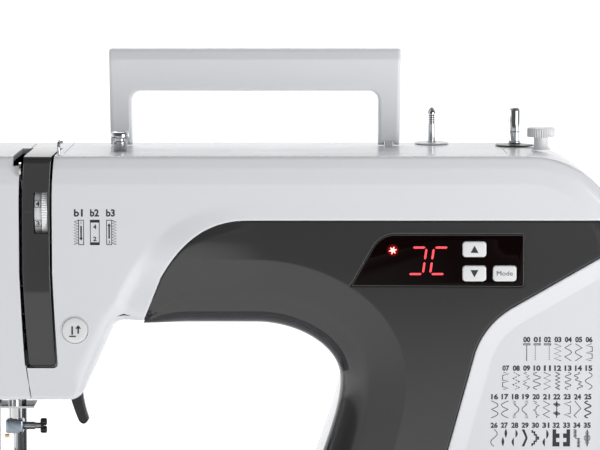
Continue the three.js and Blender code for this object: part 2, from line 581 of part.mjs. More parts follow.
function addTopParts() {
  const h = HANDLE;
  const y0 = h.pivotY - h.depth / 2;
  const side = new THREE.Shape();
  side.absarc(h.pivotY, h.pivotZ, h.depth / 2, Math.PI, 2 * Math.PI);
  side.lineTo(h.pivotY + h.depth / 2, h.top + 5);
  side.lineTo(y0, h.top + 5);
  let handle = extruded(handleOutline(), 'y', y0, y0 + h.depth, { edge: 2, steps: 2 });
  handle = handle.intersect(extruded(side, 'x', -100, 100));
  for (const x of HANDLE_LUGS) {
    const low = h.pivotY - 5.5;
    handle = handle.subtract(block(x - 2.4, x + 2.4, low, h.pivotY + 20, TOP - 5, h.pivotZ + 5.5));
  }
  add('carry_handle', handle, 'pale');

  const guide = [[0, 0], [3.7, 0], [3.7, 4.6], [2.6, 4.9], [2.6, 6], [4.5, 6.2], [4.5, 9], [3.6, 9.7],
    [0, 9.7]];
  add('bobbin_thread_guide', turned(guide, 'z', [-82.7, -15, TOP + GAP], 18), 'chrome');

  const pin = [[0, 0], [2.1, 0], [2.1, 31], [1.6, 31.8], [2.1, 32.6], [1.6, 33.4], [2.1, 34.2], [2.1, 38.6],
    [1.2, 39.4], [0, 39.4]];
  add('spool_pin', turned(pin, 'z', [SPOOL.x, SPOOL.y, TOP - 20], 12), 'chrome');
  const disc = [[2.1 + GAP, 0], [8.9, 0], [8.9, 0.5], [8, 1], [2.1 + GAP, 1], [2.1 + GAP, 0]];
  add('spool_disc', turned(disc, 'z', [SPOOL.x, SPOOL.y, TOP + GAP], 20), 'white');

  const plate = [[0, 0], [10, 0], [10, 0.4], [9.4, 0.7], [0, 0.7]];
  add('winder_plate', turned(plate, 'z', [WINDER.x, WINDER.y, TOP + GAP], 20), 'black');
  const spindle = [[0, 0], [3.2, 0], [3.2, 1.4], [2.8, 1.8], [2.8, 17.8], [1.6, 18.8], [0, 19]];
  add('winder_spindle', turned(spindle, 'z', [WINDER.x, WINDER.y, TOP + 1.3], 14), 'chrome');
  const stopper = [[0, 0], [4.9, 0], [3.8, 1.6], [3.8, 6.3], [7.1, 6.5], [7.1, 10.6], [6.3, 11.4], [0, 11.4]];
  add('winder_stopper', turned(stopper, 'z', [131, -5, TOP + 0.1], 20), 'pale');

  const hookPath = [[-112, -38, TOP + GAP], [-112, -38, TOP + 4], [-111.6, -39, TOP + 6.4],
    [-110, -41, TOP + 6.2]];
  add('thread_hook', wire(0.8, hookPath, 10), 'chrome');
  const guidePlate = block(-150, -126, -30, -9, 136.8, 137.8).add(block(-146, -144, -14, -9, 136.8, 150));
  add('head_thread_guide', guidePlate, 'chrome');
}

function handleOutline() {
  const leg = { left: -89.5, right: 59.7, innerLeft: -78.5, innerRight: 48.7, bottom: TOP + 0.4 };
  const opening = 294.8;
  const corner = 5;
  const shape = new THREE.Shape();
  shape.moveTo(leg.left, leg.bottom);
  shape.lineTo(leg.innerLeft, leg.bottom);
  shape.lineTo(leg.innerLeft, opening - corner);
  shape.absarc(leg.innerLeft + corner, opening - corner, corner, Math.PI, Math.PI / 2, true);
  shape.lineTo(leg.innerRight - corner, opening);
  shape.absarc(leg.innerRight - corner, opening - corner, corner, Math.PI / 2, 0, true);
  shape.lineTo(leg.innerRight, leg.bottom);
  shape.lineTo(leg.right, leg.bottom);
  shape.lineTo(leg.right + 0.8, HANDLE.top);
  shape.lineTo(leg.left - 0.8, HANDLE.top);
  return shape;
}

addCasing();
addTensionStrip();
addBase();
addFreeArm();
addAccessoryBox();
addFrame();
addDrive();
addNeedleBar();
addPresser();
addControls();
addTopParts();

export default machine;
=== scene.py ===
# Looks of the computerised sewing machine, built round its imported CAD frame.
# Dimensions are in millimetres and become metres when a mesh is made.
import json
import math

import bmesh
import bpy
import numpy as np
from mathutils import Matrix, Vector
from mathutils.geometry import delaunay_2d_cdt


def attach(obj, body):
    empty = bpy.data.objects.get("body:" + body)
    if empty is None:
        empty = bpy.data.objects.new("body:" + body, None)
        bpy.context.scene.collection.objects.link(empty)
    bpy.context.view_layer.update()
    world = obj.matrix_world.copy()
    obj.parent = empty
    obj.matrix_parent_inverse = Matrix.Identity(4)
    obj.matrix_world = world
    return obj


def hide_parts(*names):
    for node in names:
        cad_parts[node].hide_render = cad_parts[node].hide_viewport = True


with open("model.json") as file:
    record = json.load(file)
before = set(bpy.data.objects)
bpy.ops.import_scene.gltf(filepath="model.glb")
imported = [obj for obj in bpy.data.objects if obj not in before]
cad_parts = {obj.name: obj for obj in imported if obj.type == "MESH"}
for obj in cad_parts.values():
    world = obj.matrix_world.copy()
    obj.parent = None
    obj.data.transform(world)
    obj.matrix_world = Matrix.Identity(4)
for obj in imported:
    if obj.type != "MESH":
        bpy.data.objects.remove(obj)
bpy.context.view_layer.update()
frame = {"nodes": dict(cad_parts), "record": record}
MM = 0.001

# ---- sizes shared by several pieces ----
FRONT, REAR, PARTING, WALL = -52.0, 50.0, 6.0, 2.8
LEFT, RIGHT, TOP, CORNER = -189.0, 171.0, 266.0, 50.0
UNDERSIDE, HEAD_BOTTOM, BED, TABLE = 183.4, 144.5, 77.0, 75.0
GAP, SEAM_GAP = 0.3, 0.5
SEAM_X, STRIP_LEFT, STRIP_RIGHT, SLOT_RIGHT, STRIP_BOTTOM = -130.3, -129.4, -115.7, -114.6, 160.8
PANEL_TOP, STRIP_BEND = 234.1, 198.3
NEEDLE_X, PRESSER_X, PRESSER_Y, CLAMP_Z = -138.5, -136.5, 13.0, 123.3
SHAFT_Z = 222.0
DIAL_X, DIAL_Y, DIAL_Z, NUMBERS_X, DRUM_RADIUS = -123.4, -38.2, 237.8, -121.6, 12.7
SPOOL_PIN, WINDER, LAMP_AT = (77, 35), (119.3, 20), (54.3, 219.4)
HANDLE_Y, HANDLE_Z, HANDLE_TOP, TAPER_Z = 24.0, 274.0, 316.6, 311
LEAN_NEAR, LEAN_FAR, BROW_NEAR, BROW_FAR = 13, 31, 5.8, 13.7
CHART_DEPTH, CHART_BEVEL, TURN, EDGE_OVER = 1.6, 9.0, 16.0, 1.8
TOP_HOLE = (-110, 112, -32, 42, TOP - 9, TOP + 5)
HEAD_HOLE = (-160, -114, -22, 34, 139, 151)
COLUMN_HOLE = (40, 165, -40, 40, 72, 84)
REVERSE = (-103.5, 179.4)
BUTTONS = {"up_button": (88.8, 216.1, 100.6, 223.9), "down_button": (88.8, 204.0, 100.6, 211.9),
           "mode_button": (103.9, 204.0, 115.6, 211.9)}


def linked(name, data):
    """A new object in the scene that shows the data."""
    obj = bpy.data.objects.new(name, data)
    bpy.context.scene.collection.objects.link(obj)
    return obj


# ---- camera ----
def add_camera():
    data = bpy.data.cameras.new("camera")
    data.sensor_width = 36.0
    data.lens = 182.66
    data.clip_end = 200.0
    camera = linked("camera", data)
    camera.location = (0.0083, -1.552, 0.378)
    camera.rotation_euler = (math.radians(90 - 5.559), 0, 0)
    bpy.context.scene.camera = camera


# ---- outlines in the X-Z plane ----
class Path:
    """A polyline built from lines and curves, in millimetres."""

    def __init__(self, x, z):
        self.points = [(x, z)]

    def line(self, x, z):
        self.points.append((x, z))
        return self

    def quad(self, cx, cz, x, z, steps=14):
        x0, z0 = self.points[-1]
        for i in range(1, steps + 1):
            t = i / steps
            a, b, c = (1 - t) ** 2, 2 * t * (1 - t), t * t
            self.points.append((a * x0 + b * cx + c * x, a * z0 + b * cz + c * z))
        return self

    def cubic(self, ax, az, bx, bz, x, z, steps=30):
        x0, z0 = self.points[-1]
        for i in range(1, steps + 1):
            t = i / steps
            k = ((1 - t) ** 3, 3 * t * (1 - t) ** 2, 3 * t * t * (1 - t), t ** 3)
            self.points.append((k[0] * x0 + k[1] * ax + k[2] * bx + k[3] * x,
                                k[0] * z0 + k[1] * az + k[2] * bz + k[3] * z))
        return self

    def arc(self, cx, cz, radius, start, end, steps=24):
        for i in range(steps + 1):
            angle = math.radians(start + (end - start) * i / steps)
            self.points.append((cx + radius * math.cos(angle), cz + radius * math.sin(angle)))
        return self

    def array(self):
        kept = [self.points[0]]
        for p in self.points[1:]:
            if math.dist(p, kept[-1]) > 1e-4:
                kept.append(p)
        if math.dist(kept[0], kept[-1]) < 1e-4:
            kept.pop()
        return np.array(kept)


def area(loop):
    x, z = loop[:, 0], loop[:, 1]
    return 0.5 * np.sum(x * np.roll(z, -1) - np.roll(x, -1) * z)


def ccw(loop):
    loop = loop[np.linalg.norm(loop - np.roll(loop, 1, 0), axis=1) > 1e-6]
    return loop if area(loop) > 0 else loop[::-1]


def inset(loop, distance):
    """A counterclockwise loop moved inwards by a distance, corner by corner."""
    before = loop - np.roll(loop, 1, 0)
    after = np.roll(loop, -1, 0) - loop
    before /= np.linalg.norm(before, axis=1)[:, None]
    after /= np.linalg.norm(after, axis=1)[:, None]
    inward = np.stack([-before[:, 1] - after[:, 1], before[:, 0] + after[:, 0]], 1)
    scale = distance / np.maximum(1 + np.sum(before * after, 1), 0.25)
    return loop + inward * scale[:, None]


def divided(loop, step, closed=True):
    """The loop with its long segments split into pieces no longer than step."""
    ends = np.roll(loop, -1, 0) if closed else loop[1:]
    out = []
    for a, b in zip(loop, ends):
        n = max(1, math.ceil(np.linalg.norm(b - a) / step))
        out += [a + (b - a) * i / n for i in range(n)]
    if not closed:
        out.append(loop[-1])
    return np.array(out)


def distance(points, line, closed=True):
    """Distance from each point to a polyline, and the side it is on (positive on its left)."""
    a = line if closed else line[:-1]
    d = (np.roll(line, -1, 0) - line) if closed else line[1:] - line[:-1]
    best = np.full(len(points), 1e9)
    side = np.ones(len(points))
    for start, step in zip(a, d):
        rel = points - start
        t = np.clip((rel @ step) / (step @ step), 0, 1)
        gap = np.linalg.norm(rel - t[:, None] * step, axis=1)
        closer = gap < best
        best[closer] = gap[closer]
        side[closer] = np.sign(step[0] * rel[closer, 1] - step[1] * rel[closer, 0])
    return best, side


def inside(points, loop):
    x, z = points[:, 0], points[:, 1]
    odd = np.zeros(len(points), bool)
    for (x0, z0), (x1, z1) in zip(loop, np.roll(loop, -1, 0)):
        crosses = (z0 > z) != (z1 > z)
        if z0 != z1:
            odd ^= crosses & (x < (x1 - x0) * (z - z0) / (z1 - z0) + x0)
    return odd


def smooth(t):
    t = np.clip(t, 0, 1)
    return t * t * (3 - 2 * t)


def beside(line, shift):
    """An open polyline moved to its left."""
    ahead = np.vstack([line[1:] - line[:-1], line[-1:] - line[-2:-1]])
    behind = np.vstack([line[1:2] - line[:1], line[1:] - line[:-1]])
    ahead /= np.linalg.norm(ahead, axis=1)[:, None]
    behind /= np.linalg.norm(behind, axis=1)[:, None]
    left = np.stack([-ahead[:, 1] - behind[:, 1], ahead[:, 0] + behind[:, 0]], 1)
    return line + left * (shift / np.maximum(1 + np.sum(ahead * behind, 1), 0.3))[:, None]


def arched(path):
    """Takes a path on from the underside of the arm, round the arch and down the column."""
    return path.cubic(9, UNDERSIDE, 30.1, 170, 30.1, 153.8).cubic(30.1, 137, 22, 120, 15.5, 99)


def past_chart(path):
    """Takes a path on along the slanted top and the left side of the stitch chart."""
    return path.line(113, 190.1).quad(100, 182, 95.4, 168.1)


def casing_outline():
    p = Path(LEFT + 8, HEAD_BOTTOM).line(-106, HEAD_BOTTOM).quad(-101.3, HEAD_BOTTOM, -99.2, 149)
    p.line(-85.6, 179.2).quad(-83.7, UNDERSIDE, -79, UNDERSIDE).line(-14, UNDERSIDE)
    arched(p).line(9.5, BED + GAP).line(RIGHT, BED + GAP).line(RIGHT, TOP - CORNER)
    p.arc(RIGHT - CORNER, TOP - CORNER, CORNER, 0, 90, 40).line(LEFT + 20, TOP)
    p.arc(LEFT + 20, TOP - 20, 20, 90, 180).line(LEFT, HEAD_BOTTOM + 8)
    return ccw(p.quad(LEFT, HEAD_BOTTOM, LEFT + 8, HEAD_BOTTOM).array())


def panel_outline():
    p = Path(-70.4, UNDERSIDE - EDGE_OVER).line(-60.8, 205.5)
    p.cubic(-52, 221, -40, PANEL_TOP, -18, PANEL_TOP).line(165, PANEL_TOP).line(165, 220)
    past_chart(p).line(73, 86)
    arch = arched(Path(-14, UNDERSIDE)).line(11.9, 86).array()
    for x, z in beside(arch, -EDGE_OVER)[::-1]:
        p.line(x, z)
    return ccw(p.array())


def strip_outline(left, right, bottom, top):
    lean, corner, over = 2.5, 2.6, 1.2
    p = Path(left + lean + corner, bottom).line(right + lean - corner, bottom)
    p.quad(right + lean, bottom, right + lean - 0.1, bottom + corner, 8)
    p.quad(right + lean * 0.45, 180, right, 208).line(right, 240).quad(right, 254, right + over, TOP)
    p.line(right + over, top).line(left + over, top).line(left + over, TOP)
    p.quad(left, 254, left, 240).line(left, 208)
    p.quad(left + lean * 0.45, 180, left + lean - 0.1, bottom + corner)
    return ccw(p.quad(left + lean, bottom, left + lean + corner, bottom, 8).array())


def display_outline():
    p = Path(33.8, 201.7).line(117.9, 201.2).quad(119.4, 201.2, 119.4, 202.7, 8)
    p.line(119.4, 225.5).quad(119.4, 227, 117.9, 227, 8).line(55.3, 227)
    return ccw(p.quad(48.6, 227, 44.4, 220.3).array())


def seam_line(shift=0.0):
    """The joint between the face cover and the front shell, from the bottom up."""
    x = SEAM_X + shift
    p = Path(x + 5.6, 120).line(x + 5.4, 143).quad(x + 3.6, 154, x + 2.5, STRIP_BOTTOM + 2)
    p.quad(x + 1.1, 180, x, 208).line(x, 240)
    return p.quad(x, 254, x + 1.2, TOP).line(x + 1.2, 300).array()


def rounded(x0, z0, x1, z1, radius, steps=8):
    p = Path(x0 + radius, z0).line(x1 - radius, z0).arc(x1 - radius, z0 + radius, radius, -90, 0, steps)
    p.line(x1, z1 - radius).arc(x1 - radius, z1 - radius, radius, 0, 90, steps)
    p.line(x0 + radius, z1).arc(x0 + radius, z1 - radius, radius, 90, 180, steps)
    return ccw(p.line(x0, z0 + radius).arc(x0 + radius, z0 + radius, radius, 180, 270, steps).array())


def circle(x, z, radius, steps=48):
    return Path(x + radius, z).arc(x, z, radius, 0, 360, steps).array()


CASING, PANEL, DISPLAY = casing_outline(), panel_outline(), display_outline()
PANEL_HOLE = inset(PANEL, -0.05)
SEAM_BAND = ccw(np.concatenate([seam_line(), seam_line()[::-1] - [90, 0]]))
ARCH = arched(Path(-150, UNDERSIDE).line(-14, UNDERSIDE)).line(9.5, 77).array()
HEAD_EDGE = Path(-106, 130).line(-99.6, 148.8).line(-84.8, 182.5).cubic(
    -76, 203, -68, 219, -59.3, 228).cubic(-51, 236, -38, 241.5, -1, 245).line(60, 247).array()
CHART_EDGE = past_chart(Path(230, 257)).line(60, 40).array()
BROW = Path(LEFT - 60, TOP).line(RIGHT - CORNER, TOP).arc(
    RIGHT - CORNER, TOP - CORNER, CORNER, 90, 0, 40).line(RIGHT, 60).array()


def across_head(points):
    """Signed distance from the edge of the head, positive on the side of the arm."""
    gap, side = distance(points, HEAD_EDGE, False)
    return -gap * side


def front_relief(x, z):
    """How far the front of the casing and of the dark panel stands proud of the front plane."""
    points, deepest = np.stack([x, z], 1), 3.9
    arch = distance(points, ARCH, False)[0]
    lean = 1.7 * np.clip((LEAN_FAR - arch) / 18, 0, 1)
    lean = lean + 1.6 * np.clip((LEAN_NEAR - arch) / 11, 0, 1) ** 1.3
    across = across_head(points)
    along = 1 - smooth((x + 62) / 62)
    past = smooth((across + 3.5) / 7)
    step = 2.7 * smooth((226 - z) / 28)
    rise = 2.2 * np.clip(across / 13, 0, 1) * (1 - smooth((across - 15) / 70))
    recess = lean * past + along * (step * past - rise)
    recess = np.where(recess > 0, deepest * np.tanh(recess / deepest), recess)
    edge, beyond = distance(points, CHART_EDGE, False)
    t = np.clip(edge * beyond / CHART_BEVEL, 0, 1)
    chart = CHART_DEPTH * (0.8 * t + 0.2 * smooth(t)) * (1 - smooth((z - 214) / 26))
    brow = distance(points, BROW, False)[0]
    lip = 0.11 * np.clip(BROW_FAR - brow, 0, None) + 0.15 * np.clip(BROW_NEAR - brow, 0, None)
    return -recess - chart - lip * (1 - smooth((214 - z) / 40))


def edge_radius(x, z):
    """Rounding of the casing's front edge: crisp along the top and under the head, soft elsewhere."""
    radius = 1.6 + 3.4 * smooth((262 - z) / 12)
    under_head = smooth((152 - z) / 4) * smooth((-100 - x) / 6)
    diagonal = smooth((200 - z) / 10) * smooth((z - 150) / 8) * smooth((-70 - x) / 10) * smooth((x + 112) / 10)
    return radius - 3.4 * under_head + 3.0 * diagonal


def rounded_edge(depth, radius):
    """Drop of a rounded edge at a distance in from the outline."""
    reach = np.clip(radius - depth, 0, radius)
    return radius - np.sqrt(np.maximum(radius * radius - reach * reach, 0))


# ---- meshes ----
def made(name, vertices, faces):
    mesh = bpy.data.meshes.new(name)
    mesh.from_pydata([tuple(c * MM for c in v) for v in vertices], [],
                     [tuple(int(i) for i in f) for f in faces])
    mesh.validate()
    return shaded(linked(name, mesh))


def shaded(obj, angle=35):
    obj.data.shade_smooth()
    obj.data.set_sharp_from_angle(angle=math.radians(angle))
    return obj


def coated(obj, material):
    obj.data.materials.append(material)
    return obj


def baked(obj):
    bpy.context.view_layer.update()
    depsgraph = bpy.context.evaluated_depsgraph_get()
    mesh = bpy.data.meshes.new_from_object(obj.evaluated_get(depsgraph))
    obj.modifiers.clear()
    obj.data = mesh


def outward(obj):
    """Drops loose points and turns the faces outwards."""
    work = bmesh.new()
    work.from_mesh(obj.data)
    loose = [v for v in work.verts if not v.link_faces]
    bmesh.ops.delete(work, geom=loose, context="VERTS")
    bmesh.ops.recalc_face_normals(work, faces=work.faces)
    work.to_mesh(obj.data)
    work.free()
    return obj


def joined(name, objects):
    """One object from several meshes that keep their materials."""
    bpy.context.view_layer.update()
    materials, vertices, faces, slots, at = [], [], [], [], 0
    for o in objects:
        local = []
        for m in o.data.materials:
            if m not in materials:
                materials.append(m)
            local.append(materials.index(m))
        vertices += [o.matrix_world @ v.co for v in o.data.vertices]
        for f in o.data.polygons:
            faces.append([i + at for i in f.vertices])
            slots.append(local[f.material_index] if local else 0)
        at += len(o.data.vertices)
        bpy.data.objects.remove(o)
    mesh = bpy.data.meshes.new(name)
    mesh.from_pydata(vertices, [], faces)
    for m in materials:
        mesh.materials.append(m)
    mesh.polygons.foreach_set("material_index", slots)
    return shaded(linked(name, mesh))


def cut(obj, cutters, operation="DIFFERENCE"):
    """The object less the cutters, which are used up. Cut faces take the cutter's material."""
    for tool in cutters:
        modifier = obj.modifiers.new("cut", "BOOLEAN")
        modifier.object = tool
        modifier.operation = operation
        modifier.solver = "MANIFOLD"
        modifier.material_mode = "TRANSFER"
        before = len(obj.data.polygons)
        baked(obj)
        if len(obj.data.polygons) == before:
            print("cut changed nothing", obj.name, tool.name)
        bpy.data.objects.remove(tool)
    return shaded(obj)


def bevel(obj, width, segments, angle):
    modifier = obj.modifiers.new("bevel", "BEVEL")
    modifier.width = width * MM
    modifier.segments = segments
    modifier.limit_method = "ANGLE"
    modifier.angle_limit = math.radians(angle)
    return modifier

def placed(points, depth, axis):
    """Points of an outline at a depth along the axis across it. Outlines are (y, z), (x, z) or (x, y)."""
    depth = np.broadcast_to(depth, len(points))
    order = {"x": (depth, points[:, 0], points[:, 1]), "y": (points[:, 0], depth, points[:, 1]),
             "z": (points[:, 0], points[:, 1], depth)}
    return np.stack(order[axis], 1)


def plate(name, outline, axis, start, end, edge=0.0, steps=4, both=True, holes=()):
    """An outline between two depths, with rounded edges. Holes are plain."""
    loop = ccw(np.array(outline, float))
    sign = 1 if end > start else -1
    angles = [math.pi / 2 * i / steps for i in range(steps + 1)] if edge else [0]
    rings = [(edge * (1 - math.sin(a)), start + sign * edge * (1 - math.cos(a))) for a in angles]
    back = [(i, start + end - d) for i, d in reversed(rings)] if both else [(0, end)]
    rings = rings + back
    vertices, faces, n = [], [], len(loop)
    for depth_in, depth in rings:
        vertices += list(placed(inset(loop, depth_in) if depth_in else loop, depth, axis))
    for r in range(len(rings) - 1):
        for i in range(n):
            j = (i + 1) % n
            faces.append((r * n + i, r * n + j, (r + 1) * n + j, (r + 1) * n + i))
    faces.append(tuple(range(n))[::-1])
    faces.append(tuple(range((len(rings) - 1) * n, len(rings) * n)))
    obj = outward(made(name, vertices, faces))
    low, high = min(start, end) - 5, max(start, end) + 5
    return cut(obj, [plate("hole", h, axis, low, high) for h in holes]) if holes else obj


def lathe(name, profile, axis, at, segments=48, ribs=0, rib_depth=0.0, rib_rows=()):
    """A profile of (radius, height) turned round an axis. Rows named in rib_rows are fluted."""
    vertices, faces, rows = [], [], []
    for k, (radius, height) in enumerate(profile):
        if radius < 1e-6:
            rows.append([len(vertices)] * segments)
            vertices.append((0, 0, height))
            continue
        rows.append(list(range(len(vertices), len(vertices) + segments)))
        for i in range(segments):
            a = 2 * math.pi * i / segments
            r = radius - (rib_depth * (0.5 - 0.5 * math.cos(a * ribs)) if ribs and k in rib_rows else 0)
            vertices.append((r * math.cos(a), r * math.sin(a), height))
    for a, b in zip(rows, rows[1:]):
        for i in range(segments):
            j = (i + 1) % segments
            quad = [a[i], a[j], b[j], b[i]]
            kept = [v for k, v in enumerate(quad) if v not in quad[:k]]
            if len(kept) > 2:
                faces.append(kept)
    turn = {"z": lambda v: v, "x": lambda v: (v[2], v[0], v[1]), "y": lambda v: (v[1], v[2], v[0])}[axis]
    return outward(made(name, [tuple(c + o for c, o in zip(turn(v), at)) for v in vertices], faces))


def rod(name, radius, axis, at, length, edge=0.3, segments=32):
    e = min(edge, radius * 0.45)
    c = [(radius - e * (1 - math.sin(t)), e * (1 - math.cos(t))) for t in (0, 0.52, 1.05, 1.57)]
    profile = [(0, 0)] + c + [(r, length - h) for r, h in reversed(c)] + [(0, length)]
    return lathe(name, profile, axis, at, segments)


def box(name, x0, x1, y0, y1, z0, z1, edge=0.0, segments=3):
    vertices = [(x, y, z) for x in (x0, x1) for y in (y0, y1) for z in (z0, z1)]
    faces = [(0, 1, 3, 2), (4, 6, 7, 5), (0, 4, 5, 1), (2, 3, 7, 6), (0, 2, 6, 4), (1, 5, 7, 3)]
    obj = made(name, vertices, faces)
    if edge:
        bevel(obj, edge, segments, 35)
        baked(obj)
        shaded(obj, 40)
    return obj


def tube(name, points, radius, sides=12, steps=6):
    """A wire through the points, smoothed by a Catmull-Rom curve."""
    p = [Vector(q) for q in points]
    line = []
    for i in range(len(p) - 1):
        a, b, c, d = p[max(i - 1, 0)], p[i], p[i + 1], p[min(i + 2, len(p) - 1)]
        for s in range(steps):
            t = s / steps
            line.append(0.5 * ((2 * b) + (c - a) * t + (2 * a - 5 * b + 4 * c - d) * t * t
                               + (3 * b - a - 3 * c + d) * t ** 3))
    line.append(p[-1])
    vertices, faces = [], []
    normal = None
    for i, q in enumerate(line):
        along = (line[min(i + 1, len(line) - 1)] - line[max(i - 1, 0)]).normalized()
        if normal is None:
            normal = along.orthogonal().normalized()
        normal = (normal - along * normal.dot(along)).normalized()
        side = along.cross(normal)
        for k in range(sides):
            a = 2 * math.pi * k / sides
            vertices.append(q + (normal * math.cos(a) + side * math.sin(a)) * radius)
    for i in range(len(line) - 1):
        for k in range(sides):
            j = (k + 1) % sides
            faces.append((i * sides + k, i * sides + j, (i + 1) * sides + j, (i + 1) * sides + k))
    faces.append(tuple(range(sides))[::-1])
    faces.append(tuple(range((len(line) - 1) * sides, len(line) * sides)))
    return outward(made(name, vertices, faces))


def triangulated(loops, extra, wanted):
    """Triangles over the wanted region, with the loops as edges and the extra points inside."""
    points, edges = [], []
    for loop in loops:
        n, at = len(loop), len(points)
        points += [Vector(p) for p in loop]
        edges += [(at + i, at + (i + 1) % n) for i in range(n)]
    points += [Vector(p) for p in extra]
    found = delaunay_2d_cdt(points, edges, [], 0, 1e-5, False)
    xz = np.array([tuple(v) for v in found[0]])
    faces = np.array([f for f in found[2] if len(f) == 3])
    return xz, faces[wanted(xz[faces].mean(1))]


def staggered(low, high, step):
    """A grid of points whose rows are offset by half a step in turn."""
    xs, zs = np.arange(low[0], high[0], step), np.arange(low[1], high[1], step * 0.866)
    return np.array([(x + (step / 2 if k % 2 else 0), z) for k, z in enumerate(zs) for x in xs])


def field(loops, rings, step, region, rows=(), fine=None):
    """Points that fill a region: rings beside the loops, rows along features, and a grid between.
    The grid has its own step where fine, a test and a step, says so."""
    extra = [inset(loop, r * side) for loop in loops for r in rings for side in (1, -1)] + list(rows)
    low, high = loops[0].min(0), loops[0].max(0)
    grid = staggered(low, high, step)
    if fine is not None:
        dense = staggered(low, high, fine[1])
        grid = np.concatenate([grid[~fine[0](grid)], dense[fine[0](dense)]])
    for loop in loops:
        grid = grid[distance(grid, loop)[0] > rings[-1] + step * 0.45]
    for row in rows:
        grid = grid[distance(grid, row, False)[0] > step * 0.4]
    extra = np.concatenate(extra + [grid])
    extra = extra[region(extra)]
    for loop in loops:
        extra = extra[distance(extra, loop)[0] > rings[0] * 0.8]
    return extra


def walls_of(faces, n):
    """Side faces between two copies of the same faces, n points apart."""
    edges = dict.fromkeys((int(i), int(j)) for f in faces for i, j in zip(f, (*f[1:], f[0])))
    return [(j, i, i + n, j + n) for i, j in edges if (j, i) not in edges]


def relief(name, loops, wanted, rings, step, front, back, rows=(), fine=None):
    """A closed body over the wanted region, between two heights that are functions of its points."""
    xz, faces = triangulated(loops, field(loops, rings, step, wanted, rows, fine), wanted)
    a, b, c = xz[faces[:, 0]], xz[faces[:, 1]], xz[faces[:, 2]]
    turned = ((b - a)[:, 0] * (c - a)[:, 1] - (b - a)[:, 1] * (c - a)[:, 0]) < 0
    faces[turned] = faces[turned][:, ::-1]
    n = len(xz)
    vertices = np.concatenate([np.stack([xz[:, 0], y(xz), xz[:, 1]], 1) for y in (front, back)])
    body = [tuple(f) for f in faces] + [tuple(f + n)[::-1] for f in faces]
    return shaded(outward(made(name, vertices, body + walls_of(faces, n))), 40)


# ---- materials ----
def new_material(name):
    material = bpy.data.materials.new(name)
    material.use_nodes = True
    nodes, links = material.node_tree.nodes, material.node_tree.links
    return material, nodes, links, nodes["Principled BSDF"]


def preset(node, values):
    """Sets inputs of a node by their names."""
    for name, value in values.items():
        node.inputs[name].default_value = value
    return node


def noise(nodes, links, scale, detail=2.0, stretch=None):
    texture = preset(nodes.new("ShaderNodeTexNoise"), {"Scale": scale, "Detail": detail})
    source = nodes.new("ShaderNodeTexCoord").outputs["Object"]
    if stretch:
        mapping = preset(nodes.new("ShaderNodeMapping"), {"Scale": stretch})
        links.new(source, mapping.inputs["Vector"])
        source = mapping.outputs["Vector"]
    links.new(source, texture.inputs["Vector"])
    return texture.outputs["Fac"]


def ramped(nodes, links, source, low, high, start=0.3, end=0.7):
    ramp = preset(nodes.new("ShaderNodeMapRange"),
                  {"From Min": start, "From Max": end, "To Min": low, "To Max": high})
    links.new(source, ramp.inputs["Value"])
    return ramp.outputs["Result"]


def bumped(nodes, links, shader, height, strength, depth):
    bump = preset(nodes.new("ShaderNodeBump"), {"Strength": strength, "Distance": depth})
    links.new(height, bump.inputs["Height"])
    links.new(bump.outputs["Normal"], shader.inputs["Normal"])


def moulded(name, colour, roughness, spread=0.03, grain=0.02, grain_scale=2600, tint=0.03,
            metallic=0.0, ior=1.5, stretch=None):
    """Moulded or cast surface: broad tone variation, uneven gloss and a fine grain."""
    material, nodes, links, shader = new_material(name)
    patch = 9
    mix = nodes.new("ShaderNodeMix")
    mix.data_type = "RGBA"
    mix.inputs[6].default_value = (*[c * (1 - tint) for c in colour], 1)
    mix.inputs[7].default_value = (*[min(1, c * (1 + tint)) for c in colour], 1)
    links.new(ramped(nodes, links, noise(nodes, links, patch, 3.0), 0, 1), mix.inputs[0])
    links.new(mix.outputs[2], shader.inputs["Base Color"])
    uneven = noise(nodes, links, patch * 5, 4.0, stretch)
    links.new(ramped(nodes, links, uneven, roughness - spread, roughness + spread), shader.inputs["Roughness"])
    bumped(nodes, links, shader, noise(nodes, links, grain_scale, 2.0, stretch), grain, 0.0004)
    preset(shader, {"Metallic": metallic, "IOR": ior})
    return material


def clear_material(name, colour):
    material = moulded(name, colour, 0.12, 0.03, 0.01)
    preset(material.node_tree.nodes["Principled BSDF"], {"Transmission Weight": 0.85, "IOR": 1.49})
    return material


def glowing(name, colour, strength):
    material, nodes, links, shader = new_material(name)
    links.new(ramped(nodes, links, noise(nodes, links, 900, 2.0), strength * 0.85, strength * 1.1),
              shader.inputs["Emission Strength"])
    preset(shader, {"Emission Color": (*colour, 1), "Base Color": (*[c * 0.4 for c in colour], 1),
                    "Roughness": 0.3})
    return material


def halo_material(name, centre, radius):
    """Red light that spreads through the window round a lamp and fades outwards."""
    material, nodes, links, shader = new_material(name)
    mapping = nodes.new("ShaderNodeMapping")
    mapping.vector_type = "TEXTURE"
    preset(mapping, {"Location": [c * MM for c in centre], "Scale": [radius * MM] * 3})
    links.new(nodes.new("ShaderNodeTexCoord").outputs["Object"], mapping.inputs["Vector"])
    fade = nodes.new("ShaderNodeTexGradient")
    fade.gradient_type = "QUADRATIC_SPHERE"
    links.new(mapping.outputs["Vector"], fade.inputs["Vector"])
    links.new(ramped(nodes, links, fade.outputs["Fac"], 0, 1.1, 0, 0.6), shader.inputs["Emission Strength"])
    preset(shader, {"Emission Color": (0.85, 0.01, 0.015, 1), "Base Color": (*GLASS_COLOUR, 1),
                    "Roughness": 0.1, "IOR": 1.2})
    return material


